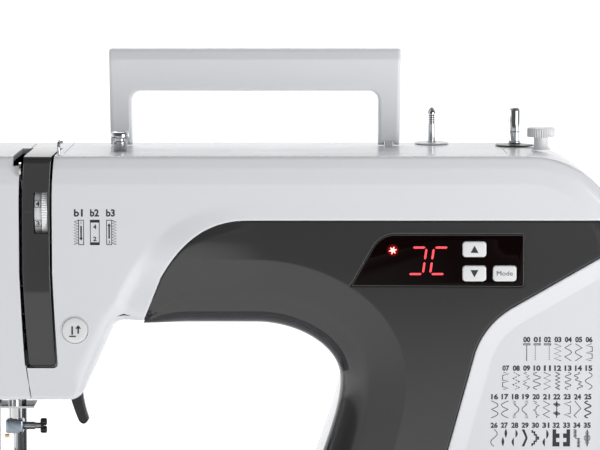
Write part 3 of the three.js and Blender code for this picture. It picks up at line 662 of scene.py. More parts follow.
def board_material(name):
    """Solder mask in two greens with paler traces between."""
    material, nodes, links, shader = new_material(name)
    brick = preset(nodes.new("ShaderNodeTexBrick"), {
        "Scale": 160, "Mortar Size": 0.06, "Color1": (0.012, 0.10, 0.045, 1),
        "Color2": (0.010, 0.085, 0.038, 1), "Mortar": (0.05, 0.20, 0.08, 1)})
    mapping = preset(nodes.new("ShaderNodeMapping"), {"Rotation": (math.radians(90), 0, 0)})
    links.new(nodes.new("ShaderNodeTexCoord").outputs["Object"], mapping.inputs["Vector"])
    links.new(mapping.outputs["Vector"], brick.inputs["Vector"])
    links.new(brick.outputs["Color"], shader.inputs["Base Color"])
    bumped(nodes, links, shader, brick.outputs["Fac"], 0.2, 0.0002)
    preset(shader, {"Roughness": 0.4})
    return material


GLASS_COLOUR = (0.0035, 0.0007, 0.0006)
M = {
    "white_shell": moulded("white_shell", (0.770, 0.777, 0.808), 0.24, 0.03, 0.012, tint=0.008, ior=1.5),
    "pale_plastic": moulded("pale_plastic", (0.800, 0.805, 0.815), 0.34, 0.04, 0.03, tint=0.01),
    "dark_panel": moulded("dark_panel", (0.030, 0.030, 0.031), 0.10, 0.02, 0.004, tint=0.05, ior=1.6),
    "black_plastic": moulded("black_plastic", (0.012, 0.011, 0.011), 0.3, 0.06, 0.05, tint=0.1),
    "rubber": moulded("rubber", (0.018, 0.018, 0.019), 0.8, 0.08, 0.25, 1500, tint=0.15),
    "chrome": moulded("chrome", (0.56, 0.57, 0.58), 0.07, 0.02, 0.004, metallic=1.0, tint=0.02),
    "steel": moulded("steel", (0.40, 0.41, 0.42), 0.28, 0.08, 0.05, 1400, metallic=1.0, stretch=(1, 1, 0.1)),
    "cast_frame": moulded("cast_frame", (0.46, 0.47, 0.48), 0.55, 0.08, 0.35, 900, metallic=0.85, tint=0.06),
    "base_metal": moulded("base_metal", (0.075, 0.078, 0.085), 0.45, 0.08, 0.2, 1200, metallic=0.5),
    "circuit_board": board_material("circuit_board"),
    "clear_plastic": clear_material("clear_plastic", (0.86, 0.92, 0.94)),
}
# Painted shade: near black on the inside walls of casings, slots and openings stands in for the shade there.
PAINTED_SHADE_INSIDE = moulded("casing_inside_painted_shade", (0.012, 0.012, 0.012), 0.75, 0.05, 0.1)
DISPLAY_GLASS = moulded("display_glass", GLASS_COLOUR, 0.06, 0.02, 0.004, tint=0.3, ior=1.2)
SEGMENT = glowing("segment_glow", (1.0, 0.075, 0.10), 1.15)
LAMP = glowing("lamp_glow", (1.0, 0.30, 0.26), 5.0)
INK = moulded("printed_ink", (0.022, 0.022, 0.026), 0.45, 0.05, 0.05, tint=0.2)
RIM = moulded("display_rim", (0.07, 0.072, 0.075), 0.2, 0.03, 0.02)
DIAL_GREY = moulded("dial_grey", (0.78, 0.79, 0.81), 0.35, 0.04, 0.03)
DIAL_WHITE = moulded("dial_white", (0.95, 0.95, 0.95), 0.35, 0.02, 0.02, tint=0.01)
# Painted light: the handle takes a brighter copy of the casing's plastic, to stand in for light falling on it.
BRIGHTENED_HANDLE_PLASTIC = moulded("handle_plastic_painted_light", (0.90, 0.915, 0.945), 0.32, 0.04, 0.03, tint=0.01)
DARK_STEEL = moulded("dark_steel", (0.085, 0.085, 0.09), 0.2, 0.05, 0.02, metallic=1.0)
CLAMP_STEEL = moulded("clamp_steel", (0.30, 0.35, 0.40), 0.16, 0.05, 0.02, metallic=1.0)
BRASS = moulded("brass", (0.78, 0.58, 0.28), 0.22, 0.05, 0.02, metallic=1.0)


def piece(obj, body, slot, material=None, replaces=()):
    if material is not None or not obj.data.materials:
        obj.data.materials.clear()
        obj.data.materials.append(material or M[slot])
    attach(obj, body)
    if replaces:
        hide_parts(*replaces)
    return obj


# ---- casing ----
def rows_beside(line, shifts):
    """Rows of points that follow a line, so that a fold of the surface gets edges along it."""
    return [divided(beside(line, shift), 2.0, False) for shift in shifts]


BROW_ROWS = rows_beside(BROW, (-5.5, -BROW_NEAR, -6.1, -10, -13.4, -BROW_FAR, -14.0))
ARCH_ROWS = rows_beside(ARCH, (12.4, LEAN_NEAR, 13.6, 30.4, LEAN_FAR, 31.6))
CHART_ROWS = rows_beside(CHART_EDGE, (0.4, 2.5, 5, 7.5, 8.6, CHART_BEVEL, 9.4, 10.5))
CASING_RINGS = (0.05, 0.2, 0.5, 0.9, 1.5, 2.3, 3.3, 4.5, 6.0, 8.0)
PANEL_RINGS = (0.05, 0.15, 0.35, 0.6, 1.0, 1.6, 2.4, 3.3, 4.4, 5.8, 7.6, 9.6, 12.0)


def near_head_edge(p):
    across = across_head(p)
    return (across > -6) & (across < 18) & (p[:, 0] < 5)


def casing_block(name, loops, wanted, front, back):
    loops = [divided(ccw(loop), 1.6) for loop in loops]
    body = relief(name, loops, wanted, CASING_RINGS, 3.2, front, back, BROW_ROWS + CHART_ROWS,
                  (near_head_edge, 1.5))
    return coated(body, M["white_shell"])


def cavity(y0, y1, wall=WALL):
    # The walls of the hollow take this painted shade.
    return coated(plate("cavity", inset(CASING, wall), "y", y0, y1), PAINTED_SHADE_INSIDE)


def panel_height(xz, edge):
    """Front of the dark panel. It turns under along the arch and has a small rounding elsewhere."""
    from_arch = np.maximum(edge, distance(xz, ARCH, False)[0] - EDGE_OVER)
    turn = TURN * (1 - np.sqrt(1 - np.clip(1 - from_arch / TURN, 0, 1) ** 2))
    turn = turn * (0.4 + 0.35 * smooth((xz[:, 0] + 72) / 25))
    surface = FRONT - front_relief(xz[:, 0], xz[:, 1]) + 0.3
    return surface + np.maximum(rounded_edge(edge, 0.6), turn)


def bed_height(xz):
    """The sunk bed that carries the dark panel."""
    return np.maximum(-46.9, panel_height(xz, distance(xz, PANEL)[0]) + 1.4)


def front_height(xz):
    x, z = xz[:, 0], xz[:, 1]
    rounding = rounded_edge(distance(xz, CASING)[0], edge_radius(x, z))
    return FRONT - front_relief(x, z) + rounding + rounded_edge(distance(xz, PANEL)[0], 0.8)


def rear_height(xz):
    return REAR - rounded_edge(distance(xz, CASING)[0], 5.0)


def level(y):
    return lambda xz: np.full(len(xz), float(y))


def strip_slot(left):
    return strip_outline(left, SLOT_RIGHT, STRIP_BOTTOM - 0.3, TOP + 10)


def lining(left):
    """Takes a sliver off the walls of the strip's slot and paints them near black, as painted shade like the
    shaded space behind.
    """
    return coated(plate("lining", inset(strip_slot(left), -0.05), "y", -60, PARTING - 3), PAINTED_SHADE_INSIDE)


def left_of_seam(p, shift=0.0):
    line = seam_line(shift)
    return p[:, 0] < np.interp(p[:, 1], line[:, 1], line[:, 0])


def openings():
    """Cutters for the holes that the front and rear shells share."""
    return [box("head_hole", *HEAD_HOLE), box("column_hole", *COLUMN_HOLE), box("top_hole", *TOP_HOLE),
            rod("shaft_hole", 9.8, "x", (RIGHT - 12, 0, SHAFT_Z), 30)]


def screw(name, radius, axis, at, facing):
    """A round screw head with a cross recess, facing along +1 or -1 of its axis."""
    profile = [(0, 0), (radius, 0), (radius, 0.5), (radius * 0.86, 1.0), (radius * 0.5, 1.25), (0, 1.3)]
    head = coated(lathe(name, [(r, h * facing) for r, h in profile], axis, at, 28), M["steel"])
    long, short, depth = radius * 0.62, radius * 0.14, 1.2
    centre = [c + (facing * 1.7 if k == "xyz".index(axis) else 0) for k, c in enumerate(at)]
    tools = []
    for a, b in ((short, long), (long, short)):
        reach = {"x": (depth, a, b), "y": (a, depth, b), "z": (a, b, depth)}[axis]
        sizes = [v for c, r in zip(centre, reach) for v in (c - r, c + r)]
        tools.append(coated(box("cross", *sizes), M["steel"]))
    return cut(head, tools)


def add_front_shell():
    """The front shell, with the sunk bed of the dark panel and the slot of the strip."""
    reverse_hole, slot, back = circle(*REVERSE, 6.6), strip_slot(SEAM_X - 1), level(PARTING - GAP / 2)

    def in_shell(p):
        return (inside(p, CASING) & ~left_of_seam(p) & ~inside(p, slot)
                & ~inside(p, PANEL_HOLE) & ~inside(p, reverse_hole))

    def in_bed(p):
        return inside(p, CASING) & inside(p, PANEL_HOLE)

    shell = casing_block("shell_front", [CASING, PANEL_HOLE, reverse_hole, slot, SEAM_BAND], in_shell,
                         front_height, back)
    bed = casing_block("panel_bed", [CASING, PANEL_HOLE], in_bed, bed_height, back)
    cut(shell, [cavity(-47.3, PARTING + 20)])
    cut(bed, [cavity(-45.8, PARTING + 20)])
    front = cut(joined("shell_front", [shell, bed]), [lining(SEAM_X - 1.06)] + openings())
    piece(front, "root", "white_shell", replaces=["front_shell"])


def add_rear_shell():
    """The rear shell, with the slot of the lifter and vents in the back and the right end."""
    def in_rear(p):
        return inside(p, CASING) & ~left_of_seam(p)

    rear = casing_block("shell_rear", [CASING, SEAM_BAND], in_rear, level(PARTING + GAP / 2), rear_height)
    holes = openings() + [box("lifter_slot", -114, -85, 10, 20, 139, 168)]
    for x in range(62, 152, 10):
        holes.append(plate("vent", rounded(x, 100, x + 4.4, 132, 2.2), "y", REAR - 6, REAR + 4))
    for k in range(6):
        y = 16 + k * 5.6
        holes.append(plate("vent", rounded(y, 100, y + 2.6, 124, 1.3), "x", RIGHT - 5, RIGHT + 5))
    cut(rear, [cavity(PARTING - 20, REAR - WALL)] + holes)
    piece(rear, "root", "white_shell", replaces=["rear_shell"])


def add_face_cover():
    """The cover of the left end, whose seam is the left slot of the strip."""
    slot, band = strip_slot(SEAM_X + 0.01), ccw(SEAM_BAND - [SEAM_GAP, 0])

    def in_face(p):
        return inside(p, CASING) & left_of_seam(p, -SEAM_GAP) & ~inside(p, slot)

    face = casing_block("face_cover_skin", [CASING, band, slot], in_face, front_height, rear_height)
    cut(face, [cavity(-47.3, REAR - WALL), lining(SEAM_X - SEAM_GAP - 0.15), box("head_hole", *HEAD_HOLE),
               box("notch", SEAM_X - 3.4, SEAM_X + 1, FRONT - 5, PARTING - 2, TOP - 5, TOP + 5)])
    piece(face, "face_cover", "white_shell", replaces=["face_cover"])


def add_rear_screws():
    for k, (x, z) in enumerate([(-95, 168), (150, 92), (150, 250), (-20, 250), (30, 92)]):
        piece(screw(f"rear_screw_{k}", 3.4, "y", (x, REAR - 0.2, z), 1), "root", "steel")


def add_front_panel():
    outline, window = inset(PANEL, 0.3), inset(DISPLAY, -0.05)
    loops = [divided(outline, 1.2), divided(window, 1.2)]

    def wanted(p):
        return inside(p, outline) & ~inside(p, window)

    def front(xz):
        return panel_height(xz, np.minimum(distance(xz, outline)[0], distance(xz, window)[0]))

    def back(xz):
        return bed_height(xz) - 0.2

    panel = relief("gloss_panel", loops, wanted, PANEL_RINGS, 2.6, front, back, ARCH_ROWS)
    piece(panel, "root", "dark_panel", replaces=["front_panel"])


# ---- tension strip and dial ----
def add_strip():
    outline = strip_outline(STRIP_LEFT, STRIP_RIGHT, STRIP_BOTTOM, TOP)

    def wanted(p):
        return inside(p, outline)

    def front(xz):
        z = xz[:, 1]
        height = FRONT + 0.07 * np.clip(STRIP_BEND - z, 0, None) + rounded_edge(distance(xz, outline)[0], 0.4)
        return np.maximum(height, FRONT + rounded_edge(TOP - z, 2.6))

    rows = [np.array([(STRIP_LEFT + 1.6 + k, TOP - d) for k in np.arange(0, 12.7, 0.8)])
            for d in (0.05, 0.25, 0.6, 1.1, 1.7, 2.5)]
    rows += [np.array([(STRIP_LEFT + 0.6 + k, STRIP_BEND + d) for k in np.arange(0, 12.2, 0.8)])
             for d in (-0.8, 0, 0.8)]
    strip = relief("threading_strip", [divided(outline, 1.0)], wanted, (0.06, 0.2, 0.45, 0.8), 1.8, front,
                   level(PARTING - 0.4), rows)
    cut(coated(strip, M["dark_panel"]), [cavity(-49.3, 20, 2.5),
                                         box("window", -123.6, -116.5, -58, -30, 227.5, 248.1)])
    piece(strip, "root", "dark_panel", replaces=["tension_strip"])
    mark = box("strip_mark", -128.2, -124.4, FRONT - 0.04, FRONT + 0.02, 238.3, 238.6)
    piece(mark, "root", "pale_plastic", RIM)


def add_dial():
    """The numbered drum in the window of the strip, and its ribbed rim."""
    at, half = (DIAL_X, DIAL_Y, DIAL_Z), (1.6, 1.8)
    drum = lathe("dial_drum", [(0, 0), (12.5, 0), (12.7, 0.2), (12.7, 3.4), (12.5, 3.6), (0, 3.6)], "x", at, 72)
    rim = lathe("dial_rim", [(0, 3.65), (13.7, 3.65), (14.0, 3.9), (14.0, 6.4), (13.7, 6.65), (0, 6.65)], "x",
                at, 288, 72, 0.55, (1, 2, 3, 4))
    lift = Matrix.Translation(Vector((0, -DRUM_RADIUS - 0.02, 0)) * MM)
    move = Matrix.Translation(Vector((NUMBERS_X, DIAL_Y, DIAL_Z)) * MM)
    marks = []
    for k in range(8):
        spin = Matrix.Rotation(-math.radians(21 + 45 * (k - 4)), 4, "X")
        frame_line = [(u * half[0], v * half[1]) for u, v in ((-1, -1), (1, -1), (1, 1), (-1, 1), (-1, -1))]
        for part in (lettering(str(k), 2.5, 0, 0, 0, 1.7, 0.02), ribbon(frame_line, 0.22, 0)):
            part.data.transform(move @ spin @ lift)
            marks.append(part)
    piece(drum, "tension_dial", "pale_plastic", DIAL_GREY, ["tension_dial"])
    piece(rim, "tension_dial", "pale_plastic", DIAL_WHITE)
    printed("dial_numbers", marks, "tension_dial")


# ---- printing ----
def lettering(string, height, x, z, y, width=None, weight=0.012):
    """Thin printed characters centred on (x, z) that stand on the plane at y and face the operator."""
    curve = bpy.data.curves.new("text", "FONT")
    curve.body = string
    curve.size = 1.0
    curve.resolution_u = 3
    curve.offset = weight
    obj = linked("text", curve)
    bpy.context.view_layer.update()
    mesh = bpy.data.meshes.new_from_object(obj.evaluated_get(bpy.context.evaluated_depsgraph_get()))
    bpy.data.objects.remove(obj)
    points = np.array([v.co[:2] for v in mesh.vertices])
    low, high = points.min(0), points.max(0)
    scale_z = height / (high[1] - low[1])
    scale_x = width / (high[0] - low[0]) if width else scale_z
    flat = (points - (low + high) / 2) * [scale_x, scale_z] + [x, z]
    faces = [tuple(f.vertices) for f in mesh.polygons]
    return thin("letters", flat, faces, y)


def thin(name, flat, faces, y, thickness=0.05):
    """A flat mesh in the X-Z plane given a thickness towards the operator."""
    n = len(flat)
    points = [(p[0], at, p[1]) for at in (y - thickness, y) for p in flat]
    body = [tuple(f) for f in faces] + [tuple(i + n for i in f)[::-1] for f in faces]
    return outward(made(name, points, body + walls_of(faces, n)))


def ribbon(points, width, y):
    """A printed line of one width through the points."""
    p = np.array(points, float)
    steps = p[1:] - p[:-1]
    steps /= np.maximum(np.linalg.norm(steps, axis=1), 1e-9)[:, None]
    normal = np.stack([-steps[:, 1], steps[:, 0]], 1)
    before, after = np.vstack([normal[:1], normal]), np.vstack([normal, normal[-1:]])
    side = (before + after) / np.maximum(1 + np.sum(before * after, 1), 0.6)[:, None]
    left, right = p + side * width / 2, p - side * width / 2
    n = len(p)
    faces = [(i, i + n, i + n + 1, i + 1) for i in range(n - 1)]
    return thin("line", np.vstack([left, right]), faces, y)


def filled(points, y):
    return thin("shape", np.array(points, float), [tuple(range(len(points)))], y)


def printed(name, parts, body="root", slot_name="black_plastic", material=None):
    return piece(joined(name, parts), body, slot_name, material or INK)


# ---- display and buttons ----
def seven_segment(x, z, width, height, lit, y):
    """The lit bars of one slanted digit. Bars are named a to g from the top, clockwise."""
    t = 1.05
    ends = {"a": ((0, 1), (1, 1)), "b": ((1, 1), (1, 0.5)), "c": ((1, 0.5), (1, 0)), "d": ((0, 0), (1, 0)),
            "e": ((0, 0.5), (0, 0)), "f": ((0, 1), (0, 0.5)), "g": ((0, 0.5), (1, 0.5))}
    bars = []
    for name in lit:
        (u0, v0), (u1, v1) = ends[name]
        a = np.array([u0 * width, v0 * height])
        b = np.array([u1 * width, v1 * height])
        along = (b - a) / np.linalg.norm(b - a)
        across = np.array([-along[1], along[0]])
        a, b = a + along * (t * 0.62), b - along * (t * 0.62)
        out, back = (along + across) * t / 2, (across - along) * t / 2
        shape = [a, a + out, b + back, b, b - out, a - back]
        shape = [(x + q[0] + q[1] * 0.14, z + q[1]) for q in shape]
        bars.append(filled(shape, y))
    return bars


def add_display():
    """The display window with its rim, lit digits and lamp."""
    y = FRONT - 0.2
    glass = coated(plate("display_glass", inset(DISPLAY, 0.34), "y", y, FRONT + 1.5, 0.25, 3, False),
                   DISPLAY_GLASS)
    cut(glass, [plate("hole", rounded(x0 - GAP, z0 - GAP, x1 + GAP, z1 + GAP, 2.1), "y", FRONT - 4, FRONT + 6)
                for x0, z0, x1, z1 in BUTTONS.values()])
    piece(glass, "root", "black_plastic", replaces=["display_window"])
    ring = coated(plate("display_rim", inset(DISPLAY, 0.04), "y", FRONT - 0.05, FRONT + 1.2, 0.1, 2, False), RIM)
    piece(cut(ring, [plate("hole", inset(DISPLAY, 0.32), "y", FRONT - 5, FRONT + 5)]), "root", "pale_plastic")
    bars = []
    for x, lit in ((61.8, "abcd"), (72.8, "adef")):
        bars += seven_segment(x, 207.6, 7.4, 13.2, lit, y)
    printed("display_digits", bars, slot_name="clear_plastic", material=SEGMENT)
    x, z = LAMP_AT
    star = []
    for k in range(12):
        radius, angle = (0.75 if k % 2 else 2.15), math.radians(k * 30 + 12)
        star.append((x + radius * math.cos(angle), z + radius * math.sin(angle)))
    printed("display_lamp", [filled(star, y - 0.06)], slot_name="clear_plastic", material=LAMP)
    halo, at = 3.4, (x, y, z)
    glow = lathe("lamp_halo", [(0, 0), (halo, 0), (halo, -0.04), (0, -0.04)], "y", at, 40)
    piece(glow, "root", "clear_plastic", halo_material("lamp_halo", at, halo))


def add_buttons():
    """The three keys beside the display, with their signs."""
    face = FRONT - 1.4
    for name, (x0, z0, x1, z1) in BUTTONS.items():
        key = plate(name + "_cap", rounded(x0, z0, x1, z1, 1.7), "y", face, FRONT + 3.4, 0.75, 5, False)
        piece(key, name, "pale_plastic", replaces=[name])
        x, z = (x0 + x1) / 2, (z0 + z1) / 2
        if name == "mode_button":
            sign = lettering("Mode", 2.2, x, z + 0.1, face, 7.9, 0.0)
        else:
            up = 1 if name == "up_button" else -1
            low, high = z - 1.75 * up, z + 1.9 * up
            sign = filled([(x - 1.95, low), (x + 1.95, low), (x, high)][::up], face)
        printed(name + "_sign", [sign], name)


def add_reverse_button():
    """The round button on the head, its bezel and its turned arrow."""
    x, z = REVERSE
    cap = lathe("reverse_cap", [(0, 0), (4, 0), (4, -4), (6.3, -4), (6.4, -4.2), (6.4, -11.1), (6.15, -11.6),
                                (5.2, -11.9), (3.5, -11.8), (0, -11.7)], "y", (x, -41, z), 72)
    piece(cap, "reverse_button", "pale_plastic", replaces=["reverse_button"])
    bezel = lathe("reverse_bezel", [(6.6, 0), (7.15, 0), (7.15, -0.25), (6.95, -0.45), (6.6, -0.25), (6.6, 0)],
                  "y", (x, FRONT + 0.1, z), 72)
    piece(bezel, "root", "white_shell")
    face = -52.95
    strokes = (((-1.3, 2.2), (-1.3, -2.0), 0.75), ((-2.8, -2.9), (0.5, -2.9), 0.6),
               ((1.7, -1.5), (1.7, 1.2), 0.75))
    arrow = [ribbon([(x + a[0], z + a[1]), (x + b[0], z + b[1])], width, face) for a, b, width in strokes]
    arrow.append(filled([(x + 0.3, z + 1.0), (x + 3.1, z + 1.0), (x + 1.7, z + 2.7)], face))
    printed("reverse_sign", arrow, "reverse_button")


def plain_mark(x, low, side, y):
    """The marks of buttonhole step 1 or 3: a thick arrow, a digit and a zigzag on the side given."""
    half, toward, number = 1.25, side, "1" if side < 0 else "3"
    digit_z, tip, edge = (233.1, 224.2, x - half) if side < 0 else (223.5, 232.9, x + half)
    arrow = [(x - 0.9, tip - toward * 1.4), (x + 0.9, tip - toward * 1.4), (x, tip)][::toward]
    zig = [(edge + side * (0.15 if i % 2 else 2.25), low + 0.15 + i * 0.7) for i in range(18)]
    return [ribbon([(x, 225.2), (x, 231.6)], 0.75, y), lettering(number, 1.5, x, digit_z, y),
            filled(arrow, y), ribbon(zig, 0.42, y)]


def barred_mark(x, low, high, half, y):
    """The marks of buttonhole steps 2 and 4: a solid bar at each end and two digits."""
    bars = [[(x - half, edge), (x + half, edge), (x + half, edge + step * 1.2),
             (x - half, edge + step * 1.2)][::step] for edge, step in ((high, -1), (low, 1))]
    digits = [lettering(n, 2.3, x, at, y, 1.6, 0.035) for n, at in (("4", 231.1), ("2", 225.1))]
    return [filled(bar, y) for bar in bars] + digits


def add_buttonholes():
    """The printed buttonhole marks on the head."""
    y, low, high = FRONT, 222.2, 234.4
    parts = [lettering(f"b{k + 1}", 3.7, x, 238, y, 4.4, 0.035) for k, x in enumerate((-101.4, -93.4, -85.5))]
    for x, half, side in ((-100.1, 1.25, -1), (-93.3, 2.2, 0), (-86.2, 1.25, 1)):
        parts.append(ribbon([(x - half, low), (x + half, low), (x + half, high), (x - half, high),
                             (x - half, low)], 0.36, y))
        parts += plain_mark(x, low, side, y) if side else barred_mark(x, low, high, half, y)
    printed("buttonhole_marks", parts)


def wave(turns, reach, samples=10, start=1):
    n = int(turns * samples * 2)
    return [(reach * start * math.sin(math.pi * i / samples), 1 - i / n) for i in range(n + 1)]


def zigzag(turns, reach=0.42, start=1):
    return [(reach * (start if i % 2 == 0 else -start), 1 - i / turns) for i in range(turns + 1)]


def bumps(side):
    """Two bows that open away from the side."""
    return [(side * (0.85 * math.sin(math.pi * (i % 12) / 12) - 0.42), 1 - i / 24) for i in range(25)]


def hooked_bow(side):
    bow = [(side * (0.75 * math.sin(math.pi * i / 14) - 0.3), 0.82 - 0.64 * i / 14) for i in range(15)]
    top = [(-0.3, 1), (0.1, 0.95), (-0.3, 0.89), (0.05, 0.82)]
    ends = [(side * x, z) for x, z in top]
    return [ends + bow[1:-1] + [(x, 1 - z) for x, z in ends[::-1]]]


def stitch_strokes(k):
    """The strokes of stitch symbol k, in a cell from -0.5 to 0.5 across and 0 to 1 up."""
    if k < 3:
        foot = [(-0.4, 0.93), (0.4, 0.93), (0.4, 1.0), (-0.4, 1.0), (-0.4, 0.93)]
        x = (0, -0.22, 0.22)[k]
        if k == 0:
            return [foot, [(x, 0.9), (x, 0)]]
        return [foot] + [[(x, 0.88 - i * 0.11), (x, 0.82 - i * 0.11)] for i in range(8)]
    if k in (4, 5):
        side = 1 if k == 4 else -1
        bend = [(0.4, 1), (-0.42, 0.76), (0.32, 0.58), (0.42, 0.5), (0.32, 0.42), (-0.42, 0.24), (0.4, 0)]
        return [[(side * x, z) for x, z in bend]]
    if k in (6, 7):
        side = 1 if k == 6 else -1
        comb = [(0.3, 1), (-0.4, 0.9), (0.4, 0.82), (0.4, 0.55), (-0.4, 0.47), (0.4, 0.4), (0.4, 0.15),
                (-0.4, 0.08), (0.3, 0)]
        return [[(side * x, z) for x, z in comb]]
    if k == 8:
        path = [(-0.3, 1), (0.42, 0.82), (-0.42, 0.64), (0.42, 0.46), (-0.42, 0.28), (0.42, 0.12), (-0.1, 0)]
        return [[(a[0] + (b[0] - a[0]) * t, a[1] + (b[1] - a[1]) * t) for t in (u, u + 0.24)]
                for a, b in zip(path, path[1:]) for u in (0.0, 0.42, 0.78)]
    if k in (18, 19):
        return hooked_bow(1 if k == 18 else -1)
    if k == 22:
        spread = ((0.15, 0.88), (0.4, 0.82), (0.42, 0.76), (0.2, 0.7), (0.15, 0.36), (0.4, 0.3), (0.42, 0.24),
                  (0.2, 0.18))
        return [[(0, 1), (0, 0)]] + [[(-w, z + 0.02), (w, z - 0.02)] for w, z in spread]
    if k == 34:
        return [[(-0.22, 1), (-0.22, 0.5)], [(0.22, 0.46), (0.22, 0)], [(-0.2, 0.47), (0.4, 0.47)]] + [
            [(x - 0.2, z), (x + 0.2, z - 0.03)] for x, z in
            [(-0.22, 0.98 - i * 0.08) for i in range(6)] + [(0.22, 0.4 - i * 0.08) for i in range(6)]]
    if k == 35:
        widths = (0.08, 0.16, 0.26, 0.16, 0.3, 0.4, 0.42, 0.4, 0.3, 0.2, 0.26, 0.16, 0.08)
        levels = [(w, 0.93 - i * 0.072) for i, w in enumerate(widths)]
        return [[(0, 1), (0, 0)]] + [[(-w, z), (w, z)] for w, z in levels]
    return [{
        3: zigzag(7, 0.42, -1),
        9: [(0, 1), (-0.35, 0.94), (0.35, 0.8), (-0.05, 0.73), (0.38, 0.62), (-0.42, 0.48), (0, 0.4),
            (-0.42, 0.3), (0.38, 0.14), (0.05, 0)],
        10: wave(2.5, 0.44, 10, -1), 11: zigzag(6, 0.42, -1), 12: zigzag(9, 0.26, -1), 13: wave(3, 0.36),
        14: [(x * 0.8 + 0.3 * math.sin(6.3 * z), z) for x, z in wave(4, 0.3)], 15: wave(1.5, 0.42),
        16: bumps(1), 17: bumps(-1),
        20: [(-0.35, 1), (0.1, 0.92), (-0.2, 0.86), (0.42, 0.72), (0.05, 0.66), (-0.02, 0.52), (-0.35, 0.46),
             (-0.02, 0.4), (0.02, 0.22), (0.42, 0.16), (0.05, 0.1), (0.1, 0)],
        21: zigzag(5, 0.4, -1),
        23: [(0.42, 1), (0.38, 0.92), (-0.42, 0.84), (0.4, 0.7), (0.4, 0.26), (-0.42, 0.2), (0.38, 0.08),
             (0.42, 0)],
        24: [(-0.35, 1), (0.42, 0.55), (-0.42, 0.15), (-0.1, 0)],
        25: wave(2.5, 0.38, 4, -1), 26: wave(1, 0.4),
        30: [(-0.4, 0.96), (-0.4, 0.84), (-0.12, 0.84), (-0.12, 0.68), (0.1, 0.68), (0.1, 0.54), (0.36, 0.54),
             (0.36, 0.44), (0.1, 0.44), (0.1, 0.3), (-0.14, 0.3), (-0.14, 0.15), (-0.4, 0.15), (-0.4, 0.02)],
    }[k]]


def leaf(x, low, high, belly, lean=0.0):
    """A pointed leaf that bulges to both sides of x, more to the right when lean is positive."""
    n = 10
    swell = [math.sin(math.pi * i / n) for i in range(n + 1)]
    right = [(x + (belly + lean) * w, low + (high - low) * i / n) for i, w in enumerate(swell)]
    left = [(x - (belly - lean) * w, low + (high - low) * i / n) for i, w in enumerate(swell)]
    return right + left[-2:0:-1]


def stitch_blocks(k):
    """The solid parts of stitch symbol k, in the same cell."""
    tee = [(-0.45, 0), (0.42, 0), (0.42, 0.26), (0.0, 0.26), (0.0, 0.5), (0.42, 0.5), (0.42, 0.76), (0.0, 0.76),
           (0.0, 1), (-0.45, 1)]
    return {27: [leaf(0.18, 0.5, 1.05, 0.16), leaf(-0.18, 0, 0.56, 0.16)],
            28: [leaf(0.1, 0.5, 1, 0.14, 0.14), leaf(-0.1, 0, 0.52, 0.14, -0.14)],
            29: [[(-0.42, 0), (-0.1, 0), (0.3, 0.45), (0.3, 0.55), (-0.08, 1), (-0.42, 1), (0.02, 0.55),
                  (0.02, 0.45)]],
            31: [leaf(0.06, 0.42, 1, 0.15, 0.15), leaf(-0.12, 0, 0.5, 0.15, -0.13)],
            32: [tee], 33: [[(-x, z) for x, z in tee[::-1]]]}.get(k, [])


def add_chart():
    """The printed chart of the stitches, one numbered symbol in each cell."""
    y, pitch_x, pitch_z, cell_x, cell_z = FRONT + CHART_DEPTH, 5.165, 14.36, 4.0, 8.6
    widths = {12: 0.6, 22: 0.42, 25: 0.6, 30: 0.75}
    rows, top = ((121.1, 7), (110.8, 9), (105.3, 10), (105.1, 10)), 174.6
    cells = [(start + i * pitch_x, top - row * pitch_z)
             for row, (start, count) in enumerate(rows) for i in range(count)]
    parts = []
    for k, (x, z) in enumerate(cells):
        parts.append(lettering(f"{k:02d}", 2.8, x, z, y, 3.5, 0.045))
        low, blocks = z - 10.7, stitch_blocks(k)
        for points in blocks or stitch_strokes(k):
            line = [(x + u * cell_x, low + v * cell_z) for u, v in points]
            parts.append(filled(line, y) if blocks else ribbon(line, widths.get(k, 0.36), y))
    printed("stitch_chart", parts)


# ---- parts on top ----
def handle_outline():
    p = Path(-89.5, 266.5).line(-78.5, 266.5).line(-78.5, 289.8).arc(-73.5, 289.8, 5, 180, 90, 14)
    p.line(43.7, 294.8).arc(43.7, 289.8, 5, 90, 0, 14).line(48.7, 266.5).line(59.7, 266.5)
    p.line(60.5, 314.9).quad(60.5, HANDLE_TOP, 58.8, HANDLE_TOP, 8).line(-88.6, HANDLE_TOP)
    return ccw(p.quad(-90.3, HANDLE_TOP, -90.3, 314.9, 8).array())


def add_handle():
    """The carry handle, thinner towards its top and round at the pivots."""
    outline, full = handle_outline(), 7.5

    def wanted(p):
        return inside(p, outline)

    def half_depth(xz):
        z = xz[:, 1]
        half = np.where(z < HANDLE_Z, np.sqrt(np.maximum(full ** 2 - (HANDLE_Z - z) ** 2, 1.2)), full)
        rounding = np.minimum(rounded_edge(distance(xz, outline)[0], 1.8), half - 0.9)
        return half - 0.5 * np.clip(z - TAPER_Z, 0, None) - rounding

    rows = [np.array([(x, TAPER_Z + d) for x in np.arange(-89, 59.5, 2.0)]) for d in (-0.5, 0, 0.5)]
    rows += [np.array([(x, z) for x in np.arange(a, a + 9, 2.0)]) for a in (-88, 50.2)
             for z in (267.2, 268.2, 269.4, 271, 272.6, 274.5)]
    rings = (0.06, 0.2, 0.45, 0.8, 1.3, 1.9, 2.6)
    handle = relief("carry_handle_skin", [divided(outline, 1.4)], wanted, rings, 3.0,
                    lambda xz: HANDLE_Y - half_depth(xz), lambda xz: HANDLE_Y + half_depth(xz), rows)
    slots = [box("slot", x - 2.4, x + 2.4, HANDLE_Y - 5.5, HANDLE_Y + 20, TOP - 5, HANDLE_Z + 5.5)
             for x in (-84, 54.2)]
    cut(coated(handle, M["pale_plastic"]), slots)
    # The brightened plastic is painted light.
    piece(handle, "handle", "pale_plastic", BRIGHTENED_HANDLE_PLASTIC, replaces=["carry_handle"])


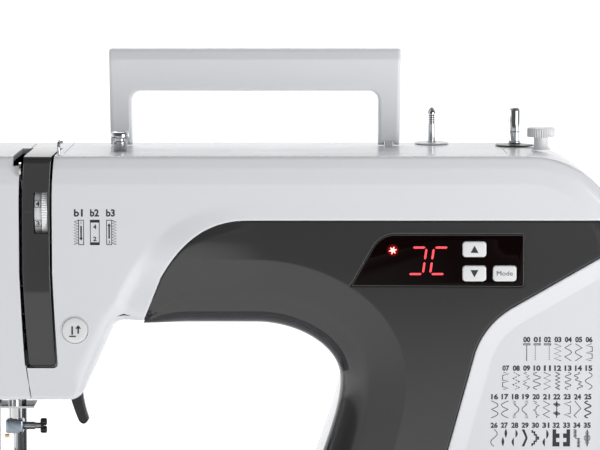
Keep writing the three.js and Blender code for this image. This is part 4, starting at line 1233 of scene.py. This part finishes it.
def add_thread_guide():
    guide = lathe("thread_guide", [(0, 0), (3.5, 0), (3.7, 0.3), (3.7, 4.3), (3.4, 4.7), (2.5, 4.9), (2.5, 5.9),
                                   (3.2, 6.1), (4.4, 6.2), (4.5, 6.5), (4.5, 8.6), (4.2, 9.3), (3.4, 9.7),
                                   (0, 9.7)], "z", (-82.7, -15, TOP + GAP), 48)
    piece(guide, "root", "chrome", replaces=["bobbin_thread_guide"])


def add_thread_hook():
    hook = tube("thread_hook_wire", [(-112, -38, TOP + GAP), (-112, -38, TOP + 4), (-111.6, -39, TOP + 6.4),
                                     (-110.3, -40.7, TOP + 6.3)], 0.8, 14)
    piece(hook, "root", "chrome", replaces=["thread_hook"])


def add_spool_pin():
    """The spool pin, ringed near its tip, and the disc it stands in."""
    radius, neck, first, pitch = 2.1, 1.5, 30.6, 1.1
    pin = [(0, 0), (radius, 0), (radius, first)]
    for k in range(5):
        at = first + k * pitch
        pin += [(radius, at), (neck, at + 0.4), (neck, at + 0.7), (radius, at + 1.1)]
    pin += [(radius, 37.0), (1.7, 37.6), (1.1, 38.6), (0.4, 39.3), (0, 39.4)]
    piece(lathe("spool_pin_shaft", pin, "z", (*SPOOL_PIN, TOP - 20), 36), "spool_pin", "chrome",
          replaces=["spool_pin"])
    disc = [(2.4, 0), (8.8, 0), (8.9, 0.2), (8.8, 0.6), (7.4, 1.0), (5, 0.75), (2.4, 0.9), (2.4, 0)]
    piece(lathe("spool_rest", disc, "z", (*SPOOL_PIN, TOP + GAP), 64), "root", "white_shell",
          replaces=["spool_disc"])


def add_winder():
    """The bobbin winder: its disc, the spindle with a side spring, and the stopper."""
    at = (*WINDER, TOP + GAP)
    disc = lathe("winder_disc", [(3.4, 0), (9.8, 0), (10, 0.2), (9.6, 0.6), (3.4, 0.7), (3.4, 0)], "z", at, 64)
    hub = lathe("winder_disc_hub", [(0, 0), (3.3, 0), (3.3, 0.7), (0, 0.7)], "z", at, 36)
    piece(joined("winder_base", [disc, hub]), "winder", "black_plastic", replaces=["winder_plate"])
    spindle = lathe("winder_shaft", [(0, 0), (3.1, 0), (3.2, 0.3), (3.2, 1.1), (2.8, 1.6), (2.8, 6),
                                     (2.55, 6.3), (2.8, 6.6), (2.8, 17), (2.5, 18), (1.6, 18.8), (0, 19)], "z",
                    (*WINDER, TOP + 1.3), 40)
    spring = tube("winder_spring", [(116.9, 18.3, 269), (116.3, 18.2, 274), (116.15, 18.2, 279),
                                    (116.9, 18.3, 284.5)], 0.35, 8)
    piece(joined("winder_spindle_assembly", [spindle, spring]), "winder_spindle", "chrome",
          replaces=["winder_spindle"])
    stopper = lathe("winder_stop", [(0, 0), (4.9, 0), (4.6, 0.6), (3.9, 1.5), (3.7, 2.4), (3.7, 6.2),
                                    (4.2, 6.45), (6.9, 6.5), (7.1, 6.8), (7.1, 10.4), (6.8, 11.0), (6.2, 11.35),
                                    (0, 11.4)], "z", (131, -5, TOP + 0.1), 216, 36, 0.4, (7, 8, 9))
    piece(stopper, "root", "pale_plastic", replaces=["winder_stopper"])


# ---- needle, presser and head underside ----
def add_needle_bar():
    """The needle bar with its collar, clamp and needle."""
    bar = rod("needle_rod", 3.5, "z", (NEEDLE_X, 0, 121.7), 128, 0.5, 36)
    collar = box("needle_collar", NEEDLE_X - 5, NEEDLE_X + 3.8, -5, 5, 196, 206, 0.6)
    piece(joined("needle_bar_steel", [bar, collar]), "needle_bar", "chrome", replaces=["needle_bar"])
    clamp = coated(box("clamp", NEEDLE_X - 4.6, NEEDLE_X + 4.6, -5, 4.6, 119.7, 127, 1.3, 5), CLAMP_STEEL)
    cut(clamp, [rod("hole", 3.8, "z", (NEEDLE_X, 0, 121.4), 20), rod("hole", 1.4, "z", (NEEDLE_X, 0, 114), 9),
                box("slit", NEEDLE_X - 5.2, NEEDLE_X + 2.6, -8, -4.4, 119, 121.2),
                rod("hole", 2.3, "x", (NEEDLE_X + 2, -1, CLAMP_Z), 10)])
    piece(clamp, "needle_bar", "steel", CLAMP_STEEL, ["needle_clamp"])
    needle = lathe("needle_steel", [(0, 0), (0.12, 0.8), (0.45, 3.4), (0.5, 20), (1.0, 22.6), (1.1, 23.2),
                                    (1.1, 32), (0.8, 32.4), (0, 32.4)], "z", (NEEDLE_X, 0, 88.7), 24)
    piece(needle, "needle_bar", "chrome", replaces=["needle"])


def add_clamp_screw():
    """The thumb screw of the clamp: a steel shank and a black knob with two lobes."""
    shank = lathe("shank", [(0, 0), (1.9, 0), (2.0, 0.2), (2.0, 6.2), (1.6, 6.6), (1.5, 9.4), (0, 9.4)], "x",
                  (NEEDLE_X + 4, -1, CLAMP_Z), 28)
    knob = [box("neck", NEEDLE_X + 11.4, NEEDLE_X + 15.0, -2.2, 0.2, CLAMP_Z - 1.4, CLAMP_Z + 1.4, 0.6)]
    knob += [lathe("lobe", [(0, 8.9), (1.4, 8.9), (1.9, 9.4), (1.9, 11.7), (1.4, 12.2), (0, 12.2)], "x",
                   (NEEDLE_X + 4.3, -1, CLAMP_Z + shift), 28) for shift in (-2.0, 2.0)]
    parts = [coated(shank, M["steel"])] + [coated(part, M["black_plastic"]) for part in knob]
    piece(joined("clamp_thumb_screw", parts), "clamp_screw", "black_plastic", replaces=["clamp_screw"])


def add_threader():
    rod_line = [(-146.4, -3, 150), (-146.4, -3, 112), (-146.0, -3.4, 109.5)]
    parts = [tube("threader_rod", rod_line, 0.9, 12),
             box("threader_hook", -148.0, -144.2, -4.2, -2.2, 107, 110, 0.4)]
    piece(joined("needle_threader", parts), "root", "pale_plastic")
    piece(box("thread_eye", -143.6, -141.0, -4.6, -3.2, 117.6, 119.4, 0.4), "needle_bar", "steel", BRASS)


def add_presser():
    """The presser bar and the curved lever that lifts it."""
    bar = rod("presser_rod", 2.8, "z", (PRESSER_X, PRESSER_Y, 92), 110, 0.4, 32)
    piece(bar, "presser_bar", "steel", DARK_STEEL, ["presser_bar"])
    outline = Path(-113, 151).line(-110.4, 134).quad(-108.6, 128, -106.6, 123.4)
    outline.quad(-103.6, 119.8, -101.3, 124.6).quad(-103.6, 131, -104.4, 138).line(-103.5, 156)
    lever = plate("lifter_lever", outline.arc(-109.5, 158, 6, 0, 162, 16).array(), "y", 12, 18, 1.1, 4)
    piece(lever, "presser_lifter", "black_plastic", replaces=["presser_lifter"])


# ---- base, free arm and accessory box ----
BASE_LEFT, BASE_BOTTOM, DEPTH = 3.5, 8.3, 80
ARM_LEFT, ARM_FRONT, ARM_BACK, ARM_BOTTOM = -180, -36, 40, 30
PLATE_SCREWS, PLATE_SCREW_Y = (-168, -108), 28


def hollowed(name, *sizes):
    """A cutter that leaves the inside of a casing behind in near black, as painted shade."""
    return coated(box(name, *sizes), PAINTED_SHADE_INSIDE)


def shell_plate(name, outline, low, high, edge):
    return coated(plate(name, outline, "z", low, high, edge, 5), M["white_shell"])


def grooves(x0, x1):
    """Cutters for a fine groove low on the front and on the back."""
    outline = rounded(x0, 12.5, x1, 13.5, 0.4)
    return [plate("groove", outline, "y", y - 0.9, y + 0.9) for y in (-DEPTH - 0.1, DEPTH + 0.1)]


def laid(obj, z):
    """A print made at y = 0 turned to lie on the level z, read from above."""
    obj.data.transform(Matrix(((1, 0, 0, 0), (0, 0, 1, 0), (0, -1, 0, z * MM), (0, 0, 0, 1))))
    return obj


def sideways(obj, x):
    """A print made at y = 0 turned to stand on the plane x and face the right."""
    obj.data.transform(Matrix(((0, -1, 0, x * MM), (1, 0, 0, 0), (0, 0, 1, 0), (0, 0, 0, 1))))
    return obj


def add_base():
    """The base shell, with grooves and openings for the arm, the inlet and the switch."""
    base = shell_plate("base_skin", rounded(BASE_LEFT, -DEPTH, RIGHT, DEPTH, 8), BASE_BOTTOM, BED, 3.0)
    cut(base, [hollowed("inside", BASE_LEFT + WALL, RIGHT - WALL, WALL - DEPTH, DEPTH - WALL, 0, BED - WALL),
               hollowed("column", *COLUMN_HOLE[:4], BED - 9, BED + 9),
               hollowed("arm_side", BASE_LEFT - 5, BASE_LEFT + 9, -33, 37, 33, BED - WALL),
               hollowed("inlet", RIGHT - 9, RIGHT + 9, 23.7, 54.3, 26.7, 57.3),
               hollowed("switch", RIGHT - 9, RIGHT + 9, -43.3, -24.7, 28.7, 55.3)]
        + grooves(BASE_LEFT + 14, RIGHT - 14))
    piece(base, "root", "white_shell", replaces=["base_shell"])


def add_power():
    """The power inlet with its three pins, and the marks of the switch."""
    socket = box("power_socket", 146, RIGHT - 0.3, 24, 54, 27, 57)
    cut(socket, [plate("flange", rounded(24, 27, 54, 57, 1.6), "x", RIGHT - 2.5, RIGHT, 0.5)], "UNION")
    cut(socket, [plate("well", rounded(28, 31, 50, 53, 2.5), "x", 156, RIGHT + 5)])
    pins = [box("pin", 157, 168, y - 0.5, y + 0.5, z, z + 4, 0.3, 2) for y, z in ((34, 40), (44, 40), (39, 45))]
    piece(socket, "root", "black_plastic", replaces=["power_inlet"])
    piece(joined("socket_pins", pins), "root", "steel")
    marks = [ribbon([(-34, 57), (-34, 60)], 0.5, 0), ribbon(circle(-34, 25, 1.4, 20), 0.45, 0)]
    printed("switch_marks", [sideways(mark, RIGHT) for mark in marks])


def add_base_screws():
    for k, (x, y) in enumerate([(20, -60), (20, 60), (150, -40), (150, 40), (-160, 0), (-20, 0)]):
        piece(screw(f"base_screw_{k}", 3.2, "z", (x, y, 4.1), -1), "root", "steel")


def add_free_arm():
    arm = shell_plate("free_arm_skin", rounded(ARM_LEFT, ARM_FRONT, BASE_LEFT - GAP, ARM_BACK, 6), ARM_BOTTOM,
                      BED, 2.4)
    cut(arm, [hollowed("inside", ARM_LEFT + WALL, BASE_LEFT + 5, ARM_FRONT + WALL, ARM_BACK - WALL,
                       ARM_BOTTOM + WALL, BED - WALL),
              plate("plate_seat", rounded(-176.3, -33.3, -99.7, 37.3, 2.3), "z", BED - 2.1, BED + 5),
              hollowed("plate_opening", -172, -104, -31, 34, BED - 9, BED + 5),
              box("cover_notch", -156.3, -120.7, -41, -30, BED - 2.1, BED + 5)])
    piece(arm, "root", "white_shell", replaces=["free_arm_shell"])


def add_needle_plate():
    """The needle plate with its holes and screws."""
    outline = rounded(-176, -33, -100, 37, 2.0)
    top = coated(plate("stitch_plate", outline, "z", BED - 1.8, BED, 0.35, 3), M["steel"])
    cuts = [box("cover_seat", -156.3, -120.7, -40, -5, BED - 5, BED + 5),
            plate("needle_hole", rounded(NEEDLE_X - 3.5, -1, NEEDLE_X + 3.5, 1, 0.95), "z", BED - 5, BED + 5)]
    cuts += [plate("feed_slot", rounded(x - 1.8, -4.4, x + 1.8, 14, 0.8), "z", BED - 5, BED + 5)
             for x in (NEEDLE_X - 7.5, NEEDLE_X + 7.5)]
    cuts += [rod("screw_seat", 3.4, "z", (x, PLATE_SCREW_Y, BED - 0.7), 3) for x in PLATE_SCREWS]
    piece(cut(top, cuts), "root", "steel", replaces=["needle_plate"])
    for k, x in enumerate(PLATE_SCREWS):
        piece(screw(f"plate_screw_{k}", 3.0, "z", (x, PLATE_SCREW_Y, BED - 1.35), 1), "root", "steel")


def add_seam_guides():
    """Guide lines at even gaps from the needle, every second one on the right with its number."""
    lines = []
    for k, gap in enumerate(range(10, 29, 3)):
        x = NEEDLE_X + gap
        lines.append(ribbon([(x, -4), (x, 33)], 0.25, 0))
        if k % 2 == 0:
            lines.append(lettering(str(gap), 1.9, x, 35, 0))
    lines += [ribbon([(NEEDLE_X - gap, -4), (NEEDLE_X - gap, 33)], 0.25, 0) for gap in range(10, 29, 6)]
    printed("seam_guides", [laid(line, BED) for line in lines])


def add_bobbin_cover():
    cover = coated(plate("bobbin_window", rounded(-156, -36, -121, -5.3, 1.2), "z", BED - 1.7, BED, 0.3, 3),
                   M["clear_plastic"])
    cut(cover, [rod("finger_dip", 5.5, "z", (-149, -29, BED - 0.8), 4, 0.2, 40)])
    piece(cover, "bobbin_cover", "clear_plastic", replaces=["bobbin_cover"])
    arrow = [ribbon([(-143, -9.5), (-133, -9.5), (-129.5, -12), (-127.5, -16)], 0.5, 0),
             filled([(-129, -15.4), (-127.2, -18.4), (-126, -15.4)], 0)]
    printed("thread_arrow", [laid(part, BED) for part in arrow], "bobbin_cover", "clear_plastic")


def add_foot():
    """The presser foot: a sole with a toe gap, and two ears that carry its pin."""
    sole = coated(plate("foot_sole", rounded(-146.5, -14, -130.5, 11, 2.2), "z", BED + 0.4, BED + 2.2, 0.5, 3),
                  M["chrome"])
    cut(sole, [plate("needle_gap", rounded(NEEDLE_X - 3.6, -4, NEEDLE_X + 3.6, 3, 1.2), "z", BED - 5, BED + 9),
               box("toe_gap", NEEDLE_X - 1, NEEDLE_X + 1, -20, -3, BED - 5, BED + 9)])
    ears = [plate("ear", rounded(6, BED + 1.9, 11, BED + 6.4, 1.4), "x", x, x + 2.5, 0.3) for x in (-146.5, -133)]
    pin = rod("foot_pin", 1.0, "x", (-145, 9, BED + 5), 13, 0.2, 20)
    piece(joined("zigzag_foot", [sole] + ears + [pin]), "presser_foot", "chrome", replaces=["presser_foot"])


def add_accessory_box():
    """The accessory box, with the space for the arm and a tray in front."""
    case = shell_plate("box_skin", rounded(-195, -DEPTH, BASE_LEFT - GAP - 0.2, DEPTH, 8), 4, TABLE, 3.0)
    cut(case, [box("arm_space", -181.5, BASE_LEFT + 5, -37.5, 41.5, 0, BED + 5),
               hollowed("tray", -191, -2, -76.5, -41, 8, TABLE + 5),
               hollowed("rear_space", -191, -2, 45, 76.5, 0, TABLE - WALL)]
        + grooves(-184, -8) + [plate("grip", rounded(-34, 34, 34, 48, 6.5), "x", -198, -192.9)])
    piece(case, "accessory_box", "white_shell", replaces=["accessory_box"])


def add_lid():
    """The hinged lid of the tray, with a scale of two marks to the centimetre."""
    lid = plate("box_lid", rounded(-190.6, -76.1, -2.4, -41.4, 1.6), "z", TABLE - 2.5, TABLE, 0.5, 3)
    grip = plate("grip", rounded(-107, -44, -87, -38, 1.5), "z", TABLE - 9, TABLE + 9)
    cut(coated(lid, M["white_shell"]), [grip])
    piece(lid, "accessory_lid", "white_shell", replaces=["accessory_lid"])
    marks = []
    for k in range(35):
        x = -184 + k * 5
        marks.append(ribbon([(x, -75.0), (x, -72.4 if k % 2 else -70.6)], 0.28, 0))
        if k % 4 == 0:
            marks.append(lettering(str(k // 2), 2.4, x, -67.9, 0))
    printed("table_scale", [laid(mark, TABLE) for mark in marks], "accessory_lid")


def add_handwheel():
    profile = [(5.3, 0), (9, 0), (9, 9), (30, 9), (34.2, 8.2), (35.2, 8.6), (36, 10.5), (36, 13), (36, 18),
               (36, 23), (35.6, 24.6), (34.4, 27), (33, 28.6), (31, 29.6), (27.5, 30.4), (24, 30.5), (22.5, 30.2),
               (21.5, 29.2), (20.8, 27.4), (18, 26.6), (14, 26.4), (13.2, 26.8), (12.6, 27.6), (11.6, 28),
               (6, 28.1), (0, 28.1), (0, 9), (5.3, 9), (5.3, 0)]
    wheel = lathe("hand_wheel", profile, "x", (164.5, 0, SHAFT_Z), 288, 36, 1.0, (6, 7, 8, 9, 10))
    piece(wheel, "main_shaft", "white_shell", replaces=["handwheel"])
    dot = lathe("wheel_mark", [(0, 0), (1.6, 0), (1.6, 0.12), (1.2, 0.2), (0, 0.2)], "x",
                (194.75, 0, SHAFT_Z + 26), 24)
    piece(dot, "main_shaft", "black_plastic")


def add_nodes():
    """CAD nodes that keep their own shape get edges, smooth shading and the finish of their slot."""
    slots = {part["node"]: part["material_slot"] for part in frame["record"]["subparts"]}
    fine_parts = ("feed_dog", "needle_plate", "presser_spring", "hook", "bobbin")
    for name, obj in frame["nodes"].items():
        obj.data.materials.clear()
        coated(obj, M[slots[name]])
        if not obj.hide_render:
            bevel(shaded(obj, 32), 0.25 if name in fine_parts else 0.5, 2, 40).harden_normals = True


# ---- stage ----
def coordinate(nodes, links, output):
    """The separate axes of a texture coordinate."""
    split = nodes.new("ShaderNodeSeparateXYZ")
    links.new(nodes.new("ShaderNodeTexCoord").outputs[output], split.inputs[0])
    return split.outputs


def add_floor():
    """A pale sweep that is brightest beside and behind the object."""
    floor = made("floor", [(-30000, -12000, 0), (30000, -12000, 0), (30000, 45000, 0), (-30000, 45000, 0)],
                 [(0, 1, 2, 3)])
    material, nodes, links, shader = new_material("floor")
    preset(shader, {"Base Color": (0.5, 0.5, 0.5, 1), "Roughness": 0.8, "Emission Color": (1, 1, 1, 1)})
    at = coordinate(nodes, links, "Object")
    across = nodes.new("ShaderNodeMath")
    across.operation = "ABSOLUTE"
    links.new(at["X"], across.inputs[0])
    total = nodes.new("ShaderNodeMath")
    links.new(ramped(nodes, links, at["Y"], 0.02, 0.8, -1.8, -0.6), total.inputs[0])
    links.new(ramped(nodes, links, across.outputs[0], 0.0, 0.5, 0.15, 0.7), total.inputs[1])
    links.new(total.outputs[0], shader.inputs["Emission Strength"])
    coated(floor, material)


def add_studio():
    """A white surround that is brightest behind the object and low down."""
    world = bpy.data.worlds.new("studio")
    bpy.context.scene.world = world
    world.use_nodes = True
    nodes, links = world.node_tree.nodes, world.node_tree.links
    at = coordinate(nodes, links, "Generated")
    glow = nodes.new("ShaderNodeMath")
    glow.operation = "MULTIPLY_ADD"
    links.new(ramped(nodes, links, at["Z"], 0.6, 0.0, 0.1, 0.5), glow.inputs[0])
    links.new(ramped(nodes, links, at["Y"], 0.0, 1.0, 0.0, 0.6), glow.inputs[1])
    links.new(ramped(nodes, links, at["Y"], 0.12, 0.62, -0.6, 0.5), glow.inputs[2])
    links.new(glow.outputs[0], nodes["Background"].inputs["Strength"])
    nodes["Background"].inputs["Color"].default_value = (1, 1, 1, 1)


def add_lamps():
    target = Vector((0, 0, 0.18))
    for name, size, at, power in (("key", 0.8, (0.95, -1.05, 0.25), 10), ("back", 1.4, (0.0, 1.6, 1.7), 16)):
        data = bpy.data.lights.new(name, "AREA")
        data.size = size
        data.energy = power
        light = linked(name, data)
        light.location = at
        light.rotation_euler = (target - Vector(at)).to_track_quat("-Z", "Y").to_euler()


bpy.context.scene.view_settings.view_transform = "Standard"
for add in (add_camera, add_floor, add_studio, add_lamps, add_front_shell, add_rear_shell, add_face_cover,
            add_rear_screws, add_front_panel, add_strip, add_dial, add_display, add_buttons,
            add_reverse_button, add_buttonholes, add_chart, add_handle, add_thread_guide, add_spool_pin,
            add_winder, add_thread_hook, add_needle_bar, add_clamp_screw, add_threader, add_presser, add_base,
            add_power, add_base_screws, add_free_arm, add_needle_plate, add_seam_guides, add_bobbin_cover,
            add_foot, add_accessory_box, add_lid, add_handwheel, add_nodes):
    add()
